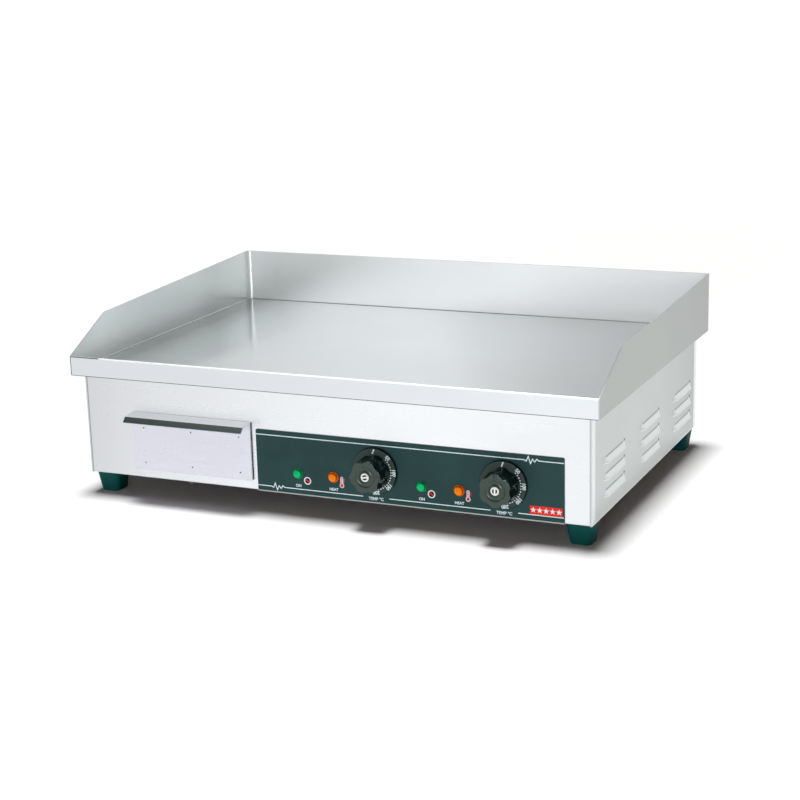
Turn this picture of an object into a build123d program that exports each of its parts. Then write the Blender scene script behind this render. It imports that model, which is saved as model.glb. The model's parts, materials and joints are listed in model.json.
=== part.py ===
import os
from math import cos, radians, sin

from build123d import *

os.makedirs("parts", exist_ok=True)

# Pan: the cooking plate inside its guards
PAN_WIDTH = 730.0
PAN_DEPTH = 500.0
PLATE_THICKNESS = 6.0
GUARD_SHEET = 1.2
GUARD_RISE = 55.5
SHOULDER_RISE = 42.0
SHOULDER_BACK = 87.5
FASCIA_HEIGHT = 26.0
FASCIA_SHEET = 1.2
HEM_WIDTH = 3.6
HEM_DEPTH = 9.0

# Casing of folded sheet, set back under the pan on every side
BODY_HEIGHT = 136.0
SIDE_OVERHANG = 13.0
FRONT_OVERHANG = 13.5
REAR_OVERHANG = 12.5
SHEET = 1.2
PANEL_RETURN = 12.0
BEND_RADIUS = 1.5
BASE_SHEET = 1.0
BASE_CLEARANCE = 0.2

# Louvres pressed out of the side panels
LOUVRE_LENGTH = 86.0
LOUVRE_HEIGHT = 10.0
LOUVRE_REACH = 4.0
LOUVRE_BULGE = 1.3
LOUVRE_SHEET = 1.0
LOUVRE_COLUMNS = 3
LOUVRE_ROWS = 3
LOUVRE_PITCH_Z = 21.0
LOUVRE_FRONT_MARGIN = 46.0
LOUVRE_REAR_MARGIN = 32.0
LOUVRE_LOWEST = 23.0

# Feet
FOOT_HEIGHT = 28.0
FOOT_TOP = 36.0
FOOT_BOTTOM = 28.0
FOOT_CORNER = 8.0
FOOT_EDGE = 1.2
FOOT_SIDE_INSET = 1.0
FOOT_END_INSET = 6.0
FOOT_RECESS_RADIUS = 7.0
FOOT_RECESS_DEPTH = 12.0
FOOT_SCREW_RADIUS = 2.9
FOOT_SCREW_HEAD = 5.2
FOOT_SCREW_HEAD_DEPTH = 4.0
FOOT_NUT_RADIUS = 5.6
FOOT_NUT_DEPTH = 5.0
FOOT_SCREW_END = 2.0
SCREW_CLEARANCE = 0.2

# Screws through the bottom flanges into the base plate
BASE_SCREW_RADIUS = 2.0
BASE_SCREW_HEAD = 3.8
BASE_SCREW_HEAD_DEPTH = 2.2
BASE_SCREW_END = 4.0
BASE_SCREW_SPAN = 400.0

# Grease drawer and its runners
DRAWER_SIDE_MARGIN = 72.5
DRAWER_HEIGHT = 77.7
DRAWER_LIFT = 12.8
DRAWER_SHEET = 1.2
DRAWER_FOLD = 4.0
DRAWER_GAP = 0.5
MOUTH_LAP = 10.0
TRAY_CLEARANCE = 1.5
TRAY_LENGTH = 380.0
TRAY_SHEET = 1.0
TRAY_RIM_DROP = 4.0
HANDLE_REACH = 18.0
HANDLE_FALL = 1.8
LIP_REACH = 6.0
LIP_DROP = 6.5
RUN_GAP = 0.3
RUNNER_SHEET = 1.5
RUNNER_SHELF = 12.0
RUNNER_LIP = 12.0
RUNNER_FOOT = 14.0
RUNNER_SIDE_GAP = 0.8

# Drain from the plate into the drawer
DRAIN_RADIUS = 15.0
SPOUT_WALL = 2.0
SPOUT_FLANGE_RADIUS = 24.0
SPOUT_FLANGE = 2.0
SPOUT_LENGTH = 44.0
DRAIN_CLEARANCE = 2.0

# Control panel
PANEL_THICKNESS = 1.5
PANEL_WIDTH = 415.0
PANEL_HEIGHT = 81.8
PANEL_LIFT = 0.7
PANEL_SIDE_MARGIN = 34.0
PANEL_DRAWER_GAP = 7.0
PANEL_CORNER = 2.0

# Dials, knobs and thermostats
DIAL_SIDE_MARGIN = 76.5
DIAL_PITCH = 171.0
DIAL_LIFT = 43.0
DIAL_RADIUS = 30.5
DIAL_THICKNESS = 5.0
DIAL_EDGE = 1.6
SHAFT_RADIUS = 3.0
SHAFT_FLAT = 2.2
SHAFT_CLEARANCE = 0.05
SHAFT_HOLE_RADIUS = 5.0
SHAFT_IN_THERMOSTAT = 12.0
SHAFT_IN_KNOB = 17.0
KNOB_REACH = 32.0
KNOB_RADIUS = 22.5
KNOB_TAPER = 3.0
KNOB_GAP = 0.6
KNOB_LOBES = 6
SCALLOP_RADIUS = 13.0
SCALLOP_DEPTH = 3.0
LOBE_ROUND = 2.0
KNOB_EDGE = 1.0
DISH_INNER = 6.8
DISH_OUTER = 13.5
DISH_DEPTH = 1.6
CAP_RADIUS = 5.8
CAP_THICKNESS = 1.2
CAP_CLEARANCE = 0.05
POINTER_WIDTH = 1.4
POINTER_DEPTH = 1.0
LEFT_KNOB_SETTING = 80.0
RIGHT_KNOB_SETTING = 0.0
THERMOSTAT_SIZE = 34.0
THERMOSTAT_DEPTH = 34.0
BRACKET_WIDTH = 56.0
BRACKET_HEIGHT = 30.0
BRACKET_SHEET = 1.5
BRACKET_SCREW_SPAN = 44.0
BRACKET_SCREW_RADIUS = 2.0
BRACKET_SCREW_HEAD = 3.6
BRACKET_SCREW_HEAD_DEPTH = 2.4

# Signal lamps
LAMP_LIFT = 28.7
POWER_LAMP_OFFSET = 108.5
HEAT_LAMP_OFFSET = 58.5
LENS_RADIUS = 7.0
LENS_FLANGE = 1.4
LENS_DOME_RADIUS = 6.2
LENS_DOME = 4.2
LENS_DOME_ROUND = 3.6
LENS_STEM_RADIUS = 5.4
LAMP_HOLE_RADIUS = 5.6
LAMP_NUT_RADIUS = 9.0
LAMP_NUT_DEPTH = 4.0
LAMP_BODY_RADIUS = 5.4
LAMP_BODY_DEPTH = 22.0
LAMP_TAB_WIDTH = 6.3
LAMP_TAB_SHEET = 0.8
LAMP_TAB_LENGTH = 8.0
LAMP_TAB_SPAN = 6.0

# Heating elements, their clamps, insulation and shield
ELEMENT_RADIUS = 4.0
ELEMENT_GAP = 0.2
ELEMENT_MARGIN = 25.0
ELEMENT_INNER = 20.0
ELEMENT_DROP_BEND = 14.0
ELEMENT_TAIL = 22.0
PIN_RADIUS = 1.8
PIN_LENGTH = 12.0
BEND_SHARE = 0.49
CLAMP_BAR_WIDTH = 20.0
CLAMP_BAR_THICKNESS = 3.0
CLAMP_INNER = 100.0
CLAMP_OUTER_MARGIN = 45.0
CLAMP_END = 22.0
STUD_END = 14.0
STUD_RADIUS = 3.0
STUD_TAIL = 8.0
CLAMP_NUT_RADIUS = 5.8
CLAMP_NUT_DEPTH = 5.0
INSULATION_THICKNESS = 8.0
INSULATION_CLEARANCE = 0.5
SHIELD_SHEET = 1.0
SHIELD_GAP = 4.0
SHIELD_DRAIN_GAP = 3.0
BUSH_RADIUS = 7.0
BUSH_COLLAR_RADIUS = 10.0
BUSH_COLLAR = 3.0
BUSH_LIP = 1.0
BUSH_CLEARANCE = 0.2

# Temperature bulbs and their capillary tubes
CAPILLARY_RADIUS = 0.8
CAPILLARY_BEND = 12.0
CAPILLARY_RISE = 9.0
CAPILLARY_HOLE = 2.5
BULB_RADIUS = 3.0
BULB_LENGTH = 80.0
LEFT_BULB_LEAD = 110.0
RIGHT_BULB_LEAD = 40.0
CLIP_SHEET = 0.8
CLIP_WIDTH = 8.0
CLIP_WING = 5.0

# Mains connection
GLAND_SIDE_MARGIN = 62.0
GLAND_LIFT = 40.0
GLAND_BORE_RADIUS = 5.0
GLAND_THREAD_RADIUS = 8.0
GLAND_HEX_RADIUS = 11.0
GLAND_REACH = 9.0
GLAND_TAIL = 14.0
GLAND_NUT_RADIUS = 12.0
GLAND_NUT_DEPTH = 4.0
EARTH_RADIUS = 3.0
EARTH_REACH = 9.0
EARTH_FLANGE_RADIUS = 6.5
EARTH_FLANGE = 2.5
BLOCK_WIDTH = 70.0
BLOCK_DEPTH = 26.0
BLOCK_HEIGHT = 22.0
BLOCK_REAR_GAP = 45.0
BLOCK_WAYS = 3
BLOCK_WAY_WIDTH = 12.0
BLOCK_WAY_DEPTH = 12.0

# Places worked out from the sizes above
knob_past_pan = PANEL_THICKNESS + KNOB_REACH - FRONT_OVERHANG
pan_mid_y = knob_past_pan / 2
pan_front = pan_mid_y - PAN_DEPTH / 2
pan_rear = pan_mid_y + PAN_DEPTH / 2
body_bottom = FOOT_HEIGHT
body_top = body_bottom + BODY_HEIGHT
body_mid_z = body_bottom + BODY_HEIGHT / 2
rim_z = body_top + FASCIA_HEIGHT
guard_inner = PAN_WIDTH / 2 - GUARD_SHEET
body_half = PAN_WIDTH / 2 - SIDE_OVERHANG
body_front = pan_front + FRONT_OVERHANG
body_rear = pan_rear - REAR_OVERHANG
panel_back = body_front + SHEET
side_front = body_front + PANEL_RETURN
side_rear = body_rear - PANEL_RETURN
base_z = body_bottom + SHEET
base_top = base_z + BASE_SHEET

panel_right = body_half - PANEL_SIDE_MARGIN
panel_left = panel_right - PANEL_WIDTH
drawer_left = DRAWER_SIDE_MARGIN - body_half
drawer_right = panel_left - PANEL_DRAWER_GAP
drawer_width = drawer_right - drawer_left
drawer_x = (drawer_left + drawer_right) / 2
drawer_bottom = body_bottom + DRAWER_LIFT
drawer_top = drawer_bottom + DRAWER_HEIGHT
drawer_mid_z = (drawer_bottom + drawer_top) / 2
drawer_back = body_front - DRAWER_GAP
drawer_face = drawer_back - DRAWER_FOLD
mouth_width = drawer_width - 2 * MOUTH_LAP
mouth_height = DRAWER_HEIGHT - 2 * MOUTH_LAP
tray_half = mouth_width / 2 - TRAY_CLEARANCE
tray_bottom = drawer_bottom + MOUTH_LAP + TRAY_CLEARANCE
tray_height = mouth_height - 2 * TRAY_CLEARANCE - TRAY_RIM_DROP
tray_front = drawer_face + DRAWER_SHEET
tray_rear = tray_front + TRAY_LENGTH

drain_y = side_front + SPOUT_FLANGE_RADIUS + DRAIN_CLEARANCE

panel_face = body_front - PANEL_THICKNESS
panel_mid_x = (panel_left + panel_right) / 2
panel_mid_z = body_bottom + PANEL_LIFT + PANEL_HEIGHT / 2
dial_z = body_bottom + DIAL_LIFT
dial_face = panel_face - DIAL_THICKNESS
knob_back = dial_face - KNOB_GAP
knob_front = panel_face - KNOB_REACH
right_dial_x = panel_right - DIAL_SIDE_MARGIN
left_dial_x = right_dial_x - DIAL_PITCH
lamp_z = body_bottom + LAMP_LIFT
shaft_back = panel_back + BRACKET_SHEET + SHAFT_IN_THERMOSTAT
bracket_back = panel_back + BRACKET_SHEET
thermostat_rear = bracket_back + THERMOSTAT_DEPTH

shield_half = body_half - PANEL_RETURN - SHIELD_GAP
shield_front = drain_y + SPOUT_FLANGE_RADIUS + SHIELD_DRAIN_GAP
shield_rear = side_rear - SHIELD_GAP
shield_mid_y = (shield_front + shield_rear) / 2
shield_depth = shield_rear - shield_front
element_z = body_top - ELEMENT_GAP - ELEMENT_RADIUS
bar_top = element_z - ELEMENT_RADIUS - ELEMENT_GAP
insulation_top = bar_top - CLAMP_BAR_THICKNESS
shield_floor = insulation_top - INSULATION_THICKNESS
shield_bottom = shield_floor - SHIELD_SHEET
first_pass = shield_front + SHIELD_SHEET + ELEMENT_MARGIN
last_pass = shield_rear - SHIELD_SHEET - ELEMENT_MARGIN
pass_pitch = (last_pass - first_pass) / 3
pass_ys = [first_pass + step * pass_pitch for step in range(4)]
element_outer = shield_half - SHIELD_SHEET - ELEMENT_MARGIN
clamp_xs = [CLAMP_INNER, shield_half - CLAMP_OUTER_MARGIN]
clamp_places = [sign * x for x in clamp_xs for sign in (-1, 1)]
stud_ys = [first_pass - STUD_END, last_pass + STUD_END]
stud_places = [(x, y) for x in clamp_places for y in stud_ys]
element_ends = [(sign * ELEMENT_INNER, y) for sign in (-1, 1) for y in (first_pass, last_pass)]
bulb_y = first_pass + pass_pitch / 2
bulb_z = body_top - ELEMENT_GAP - BULB_RADIUS

foot_x = body_half - FOOT_SIDE_INSET - FOOT_TOP / 2
foot_front = body_front + FOOT_END_INSET + FOOT_TOP / 2
foot_rear = body_rear - FOOT_END_INSET - FOOT_TOP / 2
foot_places = {
    "front_left": (-foot_x, foot_front),
    "front_right": (foot_x, foot_front),
    "rear_left": (-foot_x, foot_rear),
    "rear_right": (foot_x, foot_rear),
}
base_screw_ys = [body_front + PANEL_RETURN / 2, body_rear - PANEL_RETURN / 2]
base_screw_places = [(step * BASE_SCREW_SPAN / 2, y) for step in (-1, 0, 1) for y in base_screw_ys]

gland_x = body_half - GLAND_SIDE_MARGIN
gland_z = body_bottom + GLAND_LIFT

SIDES = {"left": -1, "right": 1}
controls = {
    "left": (left_dial_x, LEFT_KNOB_SETTING, LEFT_BULB_LEAD),
    "right": (right_dial_x, RIGHT_KNOB_SETTING, RIGHT_BULB_LEAD),
}
dial_xs = [left_dial_x, right_dial_x]
lamp_places = [(x - offset, lamp_z) for x in dial_xs for offset in (POWER_LAMP_OFFSET, HEAT_LAMP_OFFSET)]
bracket_screw_xs = [x + sign * BRACKET_SCREW_SPAN / 2 for x in dial_xs for sign in (-1, 1)]


def front_plane(y):
    """Plane that faces the user at depth y, with X to the right and Z up."""
    return Plane.XZ.offset(-y)


def shaft_outline(growth):
    """D-shaped shaft section, grown by a clearance, in the sketch being drawn."""
    Circle(SHAFT_RADIUS + growth)
    flat = SHAFT_FLAT + growth
    with Locations((0, flat + SHAFT_RADIUS)):
        Rectangle(4 * SHAFT_RADIUS, 2 * SHAFT_RADIUS, mode=Mode.SUBTRACT)


# Cooking plate with its drain hole
with BuildPart() as griddle_plate:
    with BuildSketch(Plane.XY.offset(body_top)):
        with Locations((0, pan_mid_y + (FASCIA_SHEET - GUARD_SHEET) / 2)):
            Rectangle(2 * guard_inner, PAN_DEPTH - FASCIA_SHEET - GUARD_SHEET)
        with Locations((drawer_x, drain_y)):
            Circle(DRAIN_RADIUS, mode=Mode.SUBTRACT)
    extrude(amount=PLATE_THICKNESS)
griddle_plate.part.label = "griddle_plate"
export_step(griddle_plate.part, "parts/griddle_plate.step")

# Side guards: a slope from the rim up to the shoulder, then a gentle rise to the rear
for side, sign in SIDES.items():
    with BuildPart() as splash_guard:
        with BuildSketch(Plane.YZ.offset(sign * guard_inner)):
            with BuildLine():
                Polyline(
                    (pan_front, body_top),
                    (pan_front, rim_z),
                    (pan_front + SHOULDER_BACK, rim_z + SHOULDER_RISE),
                    (pan_rear, rim_z + GUARD_RISE),
                    (pan_rear, body_top),
                    close=True,
                )
            make_face()
        extrude(amount=sign * GUARD_SHEET)
    splash_guard.part.label = f"{side}_splash_guard"
    export_step(splash_guard.part, f"parts/{side}_splash_guard.step")

# Rear guard between the side guards
with BuildPart() as rear_splash_guard:
    with BuildSketch(front_plane(pan_rear)):
        with Locations((0, body_top + (FASCIA_HEIGHT + GUARD_RISE) / 2)):
            Rectangle(2 * guard_inner, FASCIA_HEIGHT + GUARD_RISE)
    extrude(amount=GUARD_SHEET)
rear_splash_guard.part.label = "rear_splash_guard"
export_step(rear_splash_guard.part, "parts/rear_splash_guard.step")

# Front fascia with a hem rolled inwards along its top
hem_radius = HEM_WIDTH / 2
with BuildPart() as front_fascia:
    with BuildSketch(Plane.YZ.offset(-guard_inner)):
        with BuildLine():
            outer = Line((pan_front, body_top), (pan_front, rim_z - hem_radius))
            roll_end = (pan_front + HEM_WIDTH, rim_z - hem_radius)
            roll = TangentArc(outer @ 1, roll_end, tangent=outer % 1)
            Polyline(
                roll @ 1,
                (pan_front + HEM_WIDTH, rim_z - HEM_DEPTH),
                (pan_front + FASCIA_SHEET, rim_z - HEM_DEPTH),
                (pan_front + FASCIA_SHEET, body_top),
                outer @ 0,
            )
        make_face()
    extrude(amount=2 * guard_inner)
front_fascia.part.label = "front_fascia"
export_step(front_fascia.part, "parts/front_fascia.step")

# Spout under the drain hole, over the drawer
with BuildPart() as drain_spout:
    with BuildSketch(Plane.XY.offset(body_top)):
        with Locations((drawer_x, drain_y)):
            Circle(SPOUT_FLANGE_RADIUS)
    extrude(amount=-SPOUT_FLANGE)
    with BuildSketch(Plane.XY.offset(body_top)):
        with Locations((drawer_x, drain_y)):
            Circle(DRAIN_RADIUS + SPOUT_WALL)
    extrude(amount=-SPOUT_LENGTH)
    with BuildSketch(Plane.XY.offset(body_top)):
        with Locations((drawer_x, drain_y)):
            Circle(DRAIN_RADIUS)
    extrude(amount=-SPOUT_LENGTH, mode=Mode.SUBTRACT)
drain_spout.part.label = "drain_spout"
export_step(drain_spout.part, "parts/drain_spout.step")

# Front of the casing: a shallow folded tray with the drawer's mouth and the control holes
with BuildPart() as front_panel:
    with BuildSketch(front_plane(body_front)):
        with Locations((0, body_mid_z)):
            Rectangle(2 * body_half, BODY_HEIGHT)
    extrude(amount=-PANEL_RETURN)
    fillet(front_panel.faces().sort_by(Axis.Y)[0].edges(), BEND_RADIUS)
    with BuildSketch(front_plane(panel_back)):
        with Locations((0, body_mid_z)):
            Rectangle(2 * (body_half - SHEET), BODY_HEIGHT - 2 * SHEET)
    extrude(amount=SHEET - PANEL_RETURN, mode=Mode.SUBTRACT)
    with BuildSketch(front_plane(body_front)):
        with Locations((drawer_x, drawer_mid_z)):
            Rectangle(mouth_width, mouth_height)
        with Locations(*[(x, dial_z) for x in dial_xs]):
            Circle(SHAFT_HOLE_RADIUS)
        with Locations(*lamp_places):
            Circle(LAMP_HOLE_RADIUS)
        with Locations(*[(x, dial_z) for x in bracket_screw_xs]):
            Circle(BRACKET_SCREW_RADIUS + SCREW_CLEARANCE)
    extrude(amount=-SHEET, mode=Mode.SUBTRACT)
    with BuildSketch(Plane.XY.offset(body_bottom)):
        with Locations(*[place for place in base_screw_places if place[1] < pan_mid_y]):
            Circle(BASE_SCREW_RADIUS + SCREW_CLEARANCE)
    extrude(amount=SHEET, mode=Mode.SUBTRACT)
front_panel.part.label = "front_panel"
export_step(front_panel.part, "parts/front_panel.step")

# Rear of the casing, with the cable gland's hole and the earth stud's hole
with BuildPart() as rear_panel:
    with BuildSketch(front_plane(body_rear)):
        with Locations((0, body_mid_z)):
            Rectangle(2 * body_half, BODY_HEIGHT)
    extrude(amount=PANEL_RETURN)
    fillet(rear_panel.faces().sort_by(Axis.Y)[-1].edges(), BEND_RADIUS)
    with BuildSketch(front_plane(body_rear - SHEET)):
        with Locations((0, body_mid_z)):
            Rectangle(2 * (body_half - SHEET), BODY_HEIGHT - 2 * SHEET)
    extrude(amount=PANEL_RETURN - SHEET, mode=Mode.SUBTRACT)
    with BuildSketch(front_plane(body_rear)):
        with Locations((gland_x, gland_z)):
            Circle(GLAND_THREAD_RADIUS + SCREW_CLEARANCE)
        with Locations((-gland_x, gland_z)):
            Circle(EARTH_RADIUS + SCREW_CLEARANCE)
    extrude(amount=SHEET, mode=Mode.SUBTRACT)
    with BuildSketch(Plane.XY.offset(body_bottom)):
        with Locations(*[place for place in base_screw_places if place[1] > pan_mid_y]):
            Circle(BASE_SCREW_RADIUS + SCREW_CLEARANCE)
    extrude(amount=SHEET, mode=Mode.SUBTRACT)
rear_panel.part.label = "rear_panel"
export_step(rear_panel.part, "parts/rear_panel.step")


def louvre_solid(reach, height):
    """Solid inside a louvre's hood, open side down, with quarter-round ends.

    The panel's outer face is at x = 0, the hood's lower lip at z = 0.
    """
    straight = LOUVRE_LENGTH - 2 * LOUVRE_REACH
    with BuildPart() as hood:
        with BuildSketch(Plane.XZ.offset(-straight / 2)) as outline:
            with BuildLine():
                SagittaArc((reach, 0), (0, height), -LOUVRE_BULGE)
                Polyline((0, height), (0, 0), (reach, 0))
            make_face()
        extrude(amount=straight)
        for end in (-1, 1):
            with BuildSketch(Plane.XZ.offset(-end * straight / 2)):
                add(outline.sketch_local)
            end_axis = Axis((0, end * straight / 2, 0), (0, 0, end))
            revolve(axis=end_axis, revolution_arc=90)
    return hood.part


louvre_hood = louvre_solid(LOUVRE_REACH, LOUVRE_HEIGHT)
louvre_hollow = louvre_solid(LOUVRE_REACH - LOUVRE_SHEET, LOUVRE_HEIGHT - 2 * LOUVRE_SHEET)
louvre_first_y = body_front + LOUVRE_FRONT_MARGIN + LOUVRE_LENGTH / 2
louvre_last_y = body_rear - LOUVRE_REAR_MARGIN - LOUVRE_LENGTH / 2
louvre_pitch_y = (louvre_last_y - louvre_first_y) / (LOUVRE_COLUMNS - 1)
louvre_first_z = body_bottom + LOUVRE_LOWEST
louvre_places = [
    (body_half, louvre_first_y + column * louvre_pitch_y, louvre_first_z + row * LOUVRE_PITCH_Z)
    for column in range(LOUVRE_COLUMNS)
    for row in range(LOUVRE_ROWS)
]
slot_height = LOUVRE_HEIGHT - 2 * LOUVRE_SHEET

# Side of the casing: a channel with nine louvres
with BuildPart() as right_side_panel:
    with BuildSketch(front_plane(side_front)):
        with Locations((body_half - PANEL_RETURN / 2, body_mid_z)):
            Rectangle(PANEL_RETURN, BODY_HEIGHT)
        with Locations((body_half - SHEET - PANEL_RETURN / 2, body_mid_z)):
            Rectangle(PANEL_RETURN, BODY_HEIGHT - 2 * SHEET, mode=Mode.SUBTRACT)
    extrude(amount=side_front - side_rear)
    with Locations(*louvre_places):
        add(louvre_hood)
    with Locations(*louvre_places):
        add(louvre_hollow, mode=Mode.SUBTRACT)
    with BuildSketch(Plane.YZ.offset(body_half)):
        with Locations(*[(y, z + slot_height / 2) for x, y, z in louvre_places]):
            Rectangle(LOUVRE_LENGTH - 2 * LOUVRE_REACH, slot_height)
    extrude(amount=-SHEET, mode=Mode.SUBTRACT)
right_side_panel.part.label = "right_side_panel"
export_step(right_side_panel.part, "parts/right_side_panel.step")

with BuildPart() as left_side_panel:
    mirror(right_side_panel.part, about=Plane.YZ)
left_side_panel.part.label = "left_side_panel"
export_step(left_side_panel.part, "parts/left_side_panel.step")

# Base plate, lying on the casing's bottom flanges
base_inset = SHEET + BASE_CLEARANCE
with BuildPart() as base_plate:
    with BuildSketch(Plane.XY.offset(base_z)):
        with Locations((0, (body_front + body_rear) / 2)):
            Rectangle(2 * (body_half - base_inset), body_rear - body_front - 2 * base_inset)
        with Locations(*foot_places.values()):
            Circle(FOOT_SCREW_RADIUS + SCREW_CLEARANCE, mode=Mode.SUBTRACT)
        with Locations(*base_screw_places):
            Circle(BASE_SCREW_RADIUS + SCREW_CLEARANCE, mode=Mode.SUBTRACT)
    extrude(amount=BASE_SHEET)
base_plate.part.label = "base_plate"
export_step(base_plate.part, "parts/base_plate.step")

with BuildPart() as base_screws:
    with BuildSketch(Plane.XY.offset(body_bottom)):
        with Locations(*base_screw_places):
            Circle(BASE_SCREW_HEAD)
    extrude(amount=-BASE_SCREW_HEAD_DEPTH)
    with BuildSketch(Plane.XY.offset(body_bottom)):
        with Locations(*base_screw_places):
            Circle(BASE_SCREW_RADIUS)
    extrude(amount=SHEET + BASE_SHEET + BASE_SCREW_END)
base_screws.part.label = "base_screws"
export_step(base_screws.part, "parts/base_screws.step")

# Tapered feet, each with a screw recess in its underside
for place, (x, y) in foot_places.items():
    with BuildPart() as foot:
        with BuildSketch(Plane((x, y, 0))):
            RectangleRounded(FOOT_BOTTOM, FOOT_BOTTOM, FOOT_CORNER)
        with BuildSketch(Plane((x, y, FOOT_HEIGHT))):
            RectangleRounded(FOOT_TOP, FOOT_TOP, FOOT_CORNER)
        loft()
        fillet(foot.faces().sort_by(Axis.Z)[0].edges(), FOOT_EDGE)
        with BuildSketch(Plane((x, y, 0))):
            Circle(FOOT_RECESS_RADIUS)
        extrude(amount=FOOT_RECESS_DEPTH, mode=Mode.SUBTRACT)
        with BuildSketch(Plane((x, y, 0))):
            Circle(FOOT_SCREW_RADIUS + SCREW_CLEARANCE)
        extrude(amount=FOOT_HEIGHT, mode=Mode.SUBTRACT)
    foot.part.label = f"{place}_foot"
    export_step(foot.part, f"parts/{place}_foot.step")

with BuildPart() as foot_screws:
    with BuildSketch(Plane.XY.offset(FOOT_RECESS_DEPTH)):
        with Locations(*foot_places.values()):
            Circle(FOOT_SCREW_HEAD)
    extrude(amount=-FOOT_SCREW_HEAD_DEPTH)
    with BuildSketch(Plane.XY.offset(FOOT_RECESS_DEPTH)):
        with Locations(*foot_places.values()):
            Circle(FOOT_SCREW_RADIUS)
    extrude(amount=base_top + FOOT_NUT_DEPTH + FOOT_SCREW_END - FOOT_RECESS_DEPTH)
foot_screws.part.label = "foot_screws"
export_step(foot_screws.part, "parts/foot_screws.step")

with BuildPart() as foot_nuts:
    with BuildSketch(Plane.XY.offset(base_top)):
        with Locations(*foot_places.values()):
            RegularPolygon(FOOT_NUT_RADIUS, 6)
            Circle(FOOT_SCREW_RADIUS + SHAFT_CLEARANCE, mode=Mode.SUBTRACT)
    extrude(amount=FOOT_NUT_DEPTH)
foot_nuts.part.label = "foot_nuts"
export_step(foot_nuts.part, "parts/foot_nuts.step")

# Drawer front: a folded sheet whose top edge bends forward into a handle with a lip
with BuildPart() as drawer_front:
    with BuildSketch(front_plane(drawer_back)):
        with Locations((drawer_x, drawer_mid_z)):
            Rectangle(drawer_width, DRAWER_HEIGHT)
    extrude(amount=DRAWER_FOLD)
    with BuildSketch(front_plane(drawer_back)):
        with Locations((drawer_x, drawer_mid_z)):
            Rectangle(drawer_width - 2 * DRAWER_SHEET, DRAWER_HEIGHT - 2 * DRAWER_SHEET)
    extrude(amount=DRAWER_FOLD - DRAWER_SHEET, mode=Mode.SUBTRACT)
    handle_root = (drawer_face, drawer_top)
    handle_knee = (drawer_face - HANDLE_REACH, drawer_top - HANDLE_FALL)
    lip_end = (handle_knee[0] - LIP_REACH, handle_knee[1] - LIP_DROP)
    with BuildSketch(Plane.YZ.offset(drawer_left)):
        with BuildLine():
            Polyline(handle_root, handle_knee, lip_end)
            offset(amount=DRAWER_SHEET, side=Side.LEFT)
        make_face()
    extrude(amount=drawer_width)
drawer_front.part.label = "drawer_front"
export_step(drawer_front.part, "parts/drawer_front.step")

# Grease tray, spot welded behind the drawer front
with BuildPart() as grease_tray:
    with BuildSketch(Plane.XY.offset(tray_bottom)):
        with Locations((drawer_x, (tray_front + tray_rear) / 2)):
            Rectangle(2 * tray_half, TRAY_LENGTH)
    extrude(amount=tray_height)
    with BuildSketch(Plane.XY.offset(tray_bottom + TRAY_SHEET)):
        with Locations((drawer_x, (tray_front + tray_rear) / 2)):
            Rectangle(2 * (tray_half - TRAY_SHEET), TRAY_LENGTH - 2 * TRAY_SHEET)
    extrude(amount=tray_height - TRAY_SHEET, mode=Mode.SUBTRACT)
grease_tray.part.label = "grease_tray"
export_step(grease_tray.part, "parts/grease_tray.step")

# Runners on the base plate: a foot, a web beside the tray, and a shelf under its edge
shelf_top = tray_bottom - RUN_GAP
for side, sign in SIDES.items():
    web_x = drawer_x + sign * (tray_half + RUNNER_SIDE_GAP)
    with BuildPart() as runner:
        with BuildSketch(front_plane(panel_back)):
            with BuildLine():
                Polyline(
                    (web_x, shelf_top + RUNNER_LIP),
                    (web_x, shelf_top),
                    (web_x - sign * RUNNER_SHELF, shelf_top),
                    (web_x - sign * RUNNER_SHELF, shelf_top - RUNNER_SHEET),
                    (web_x, shelf_top - RUNNER_SHEET),
                    (web_x, base_top),
                    (web_x + sign * RUNNER_FOOT, base_top),
                    (web_x + sign * RUNNER_FOOT, base_top + RUNNER_SHEET),
                    (web_x + sign * RUNNER_SHEET, base_top + RUNNER_SHEET),
                    (web_x + sign * RUNNER_SHEET, shelf_top + RUNNER_LIP),
                    close=True,
                )
            make_face()
        extrude(amount=-TRAY_LENGTH)
    runner.part.label = f"{side}_runner"
    export_step(runner.part, f"parts/{side}_runner.step")

# Printed control panel on the casing's front
with BuildPart() as control_panel:
    with BuildSketch(front_plane(body_front)):
        with Locations((panel_mid_x, panel_mid_z)):
            RectangleRounded(PANEL_WIDTH, PANEL_HEIGHT, PANEL_CORNER)
        with Locations(*[(x, dial_z) for x in dial_xs]):
            Circle(SHAFT_HOLE_RADIUS, mode=Mode.SUBTRACT)
        with Locations(*lamp_places):
            Circle(LAMP_HOLE_RADIUS, mode=Mode.SUBTRACT)
    extrude(amount=PANEL_THICKNESS)
control_panel.part.label = "control_panel"
export_step(control_panel.part, "parts/control_panel.step")

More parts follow.
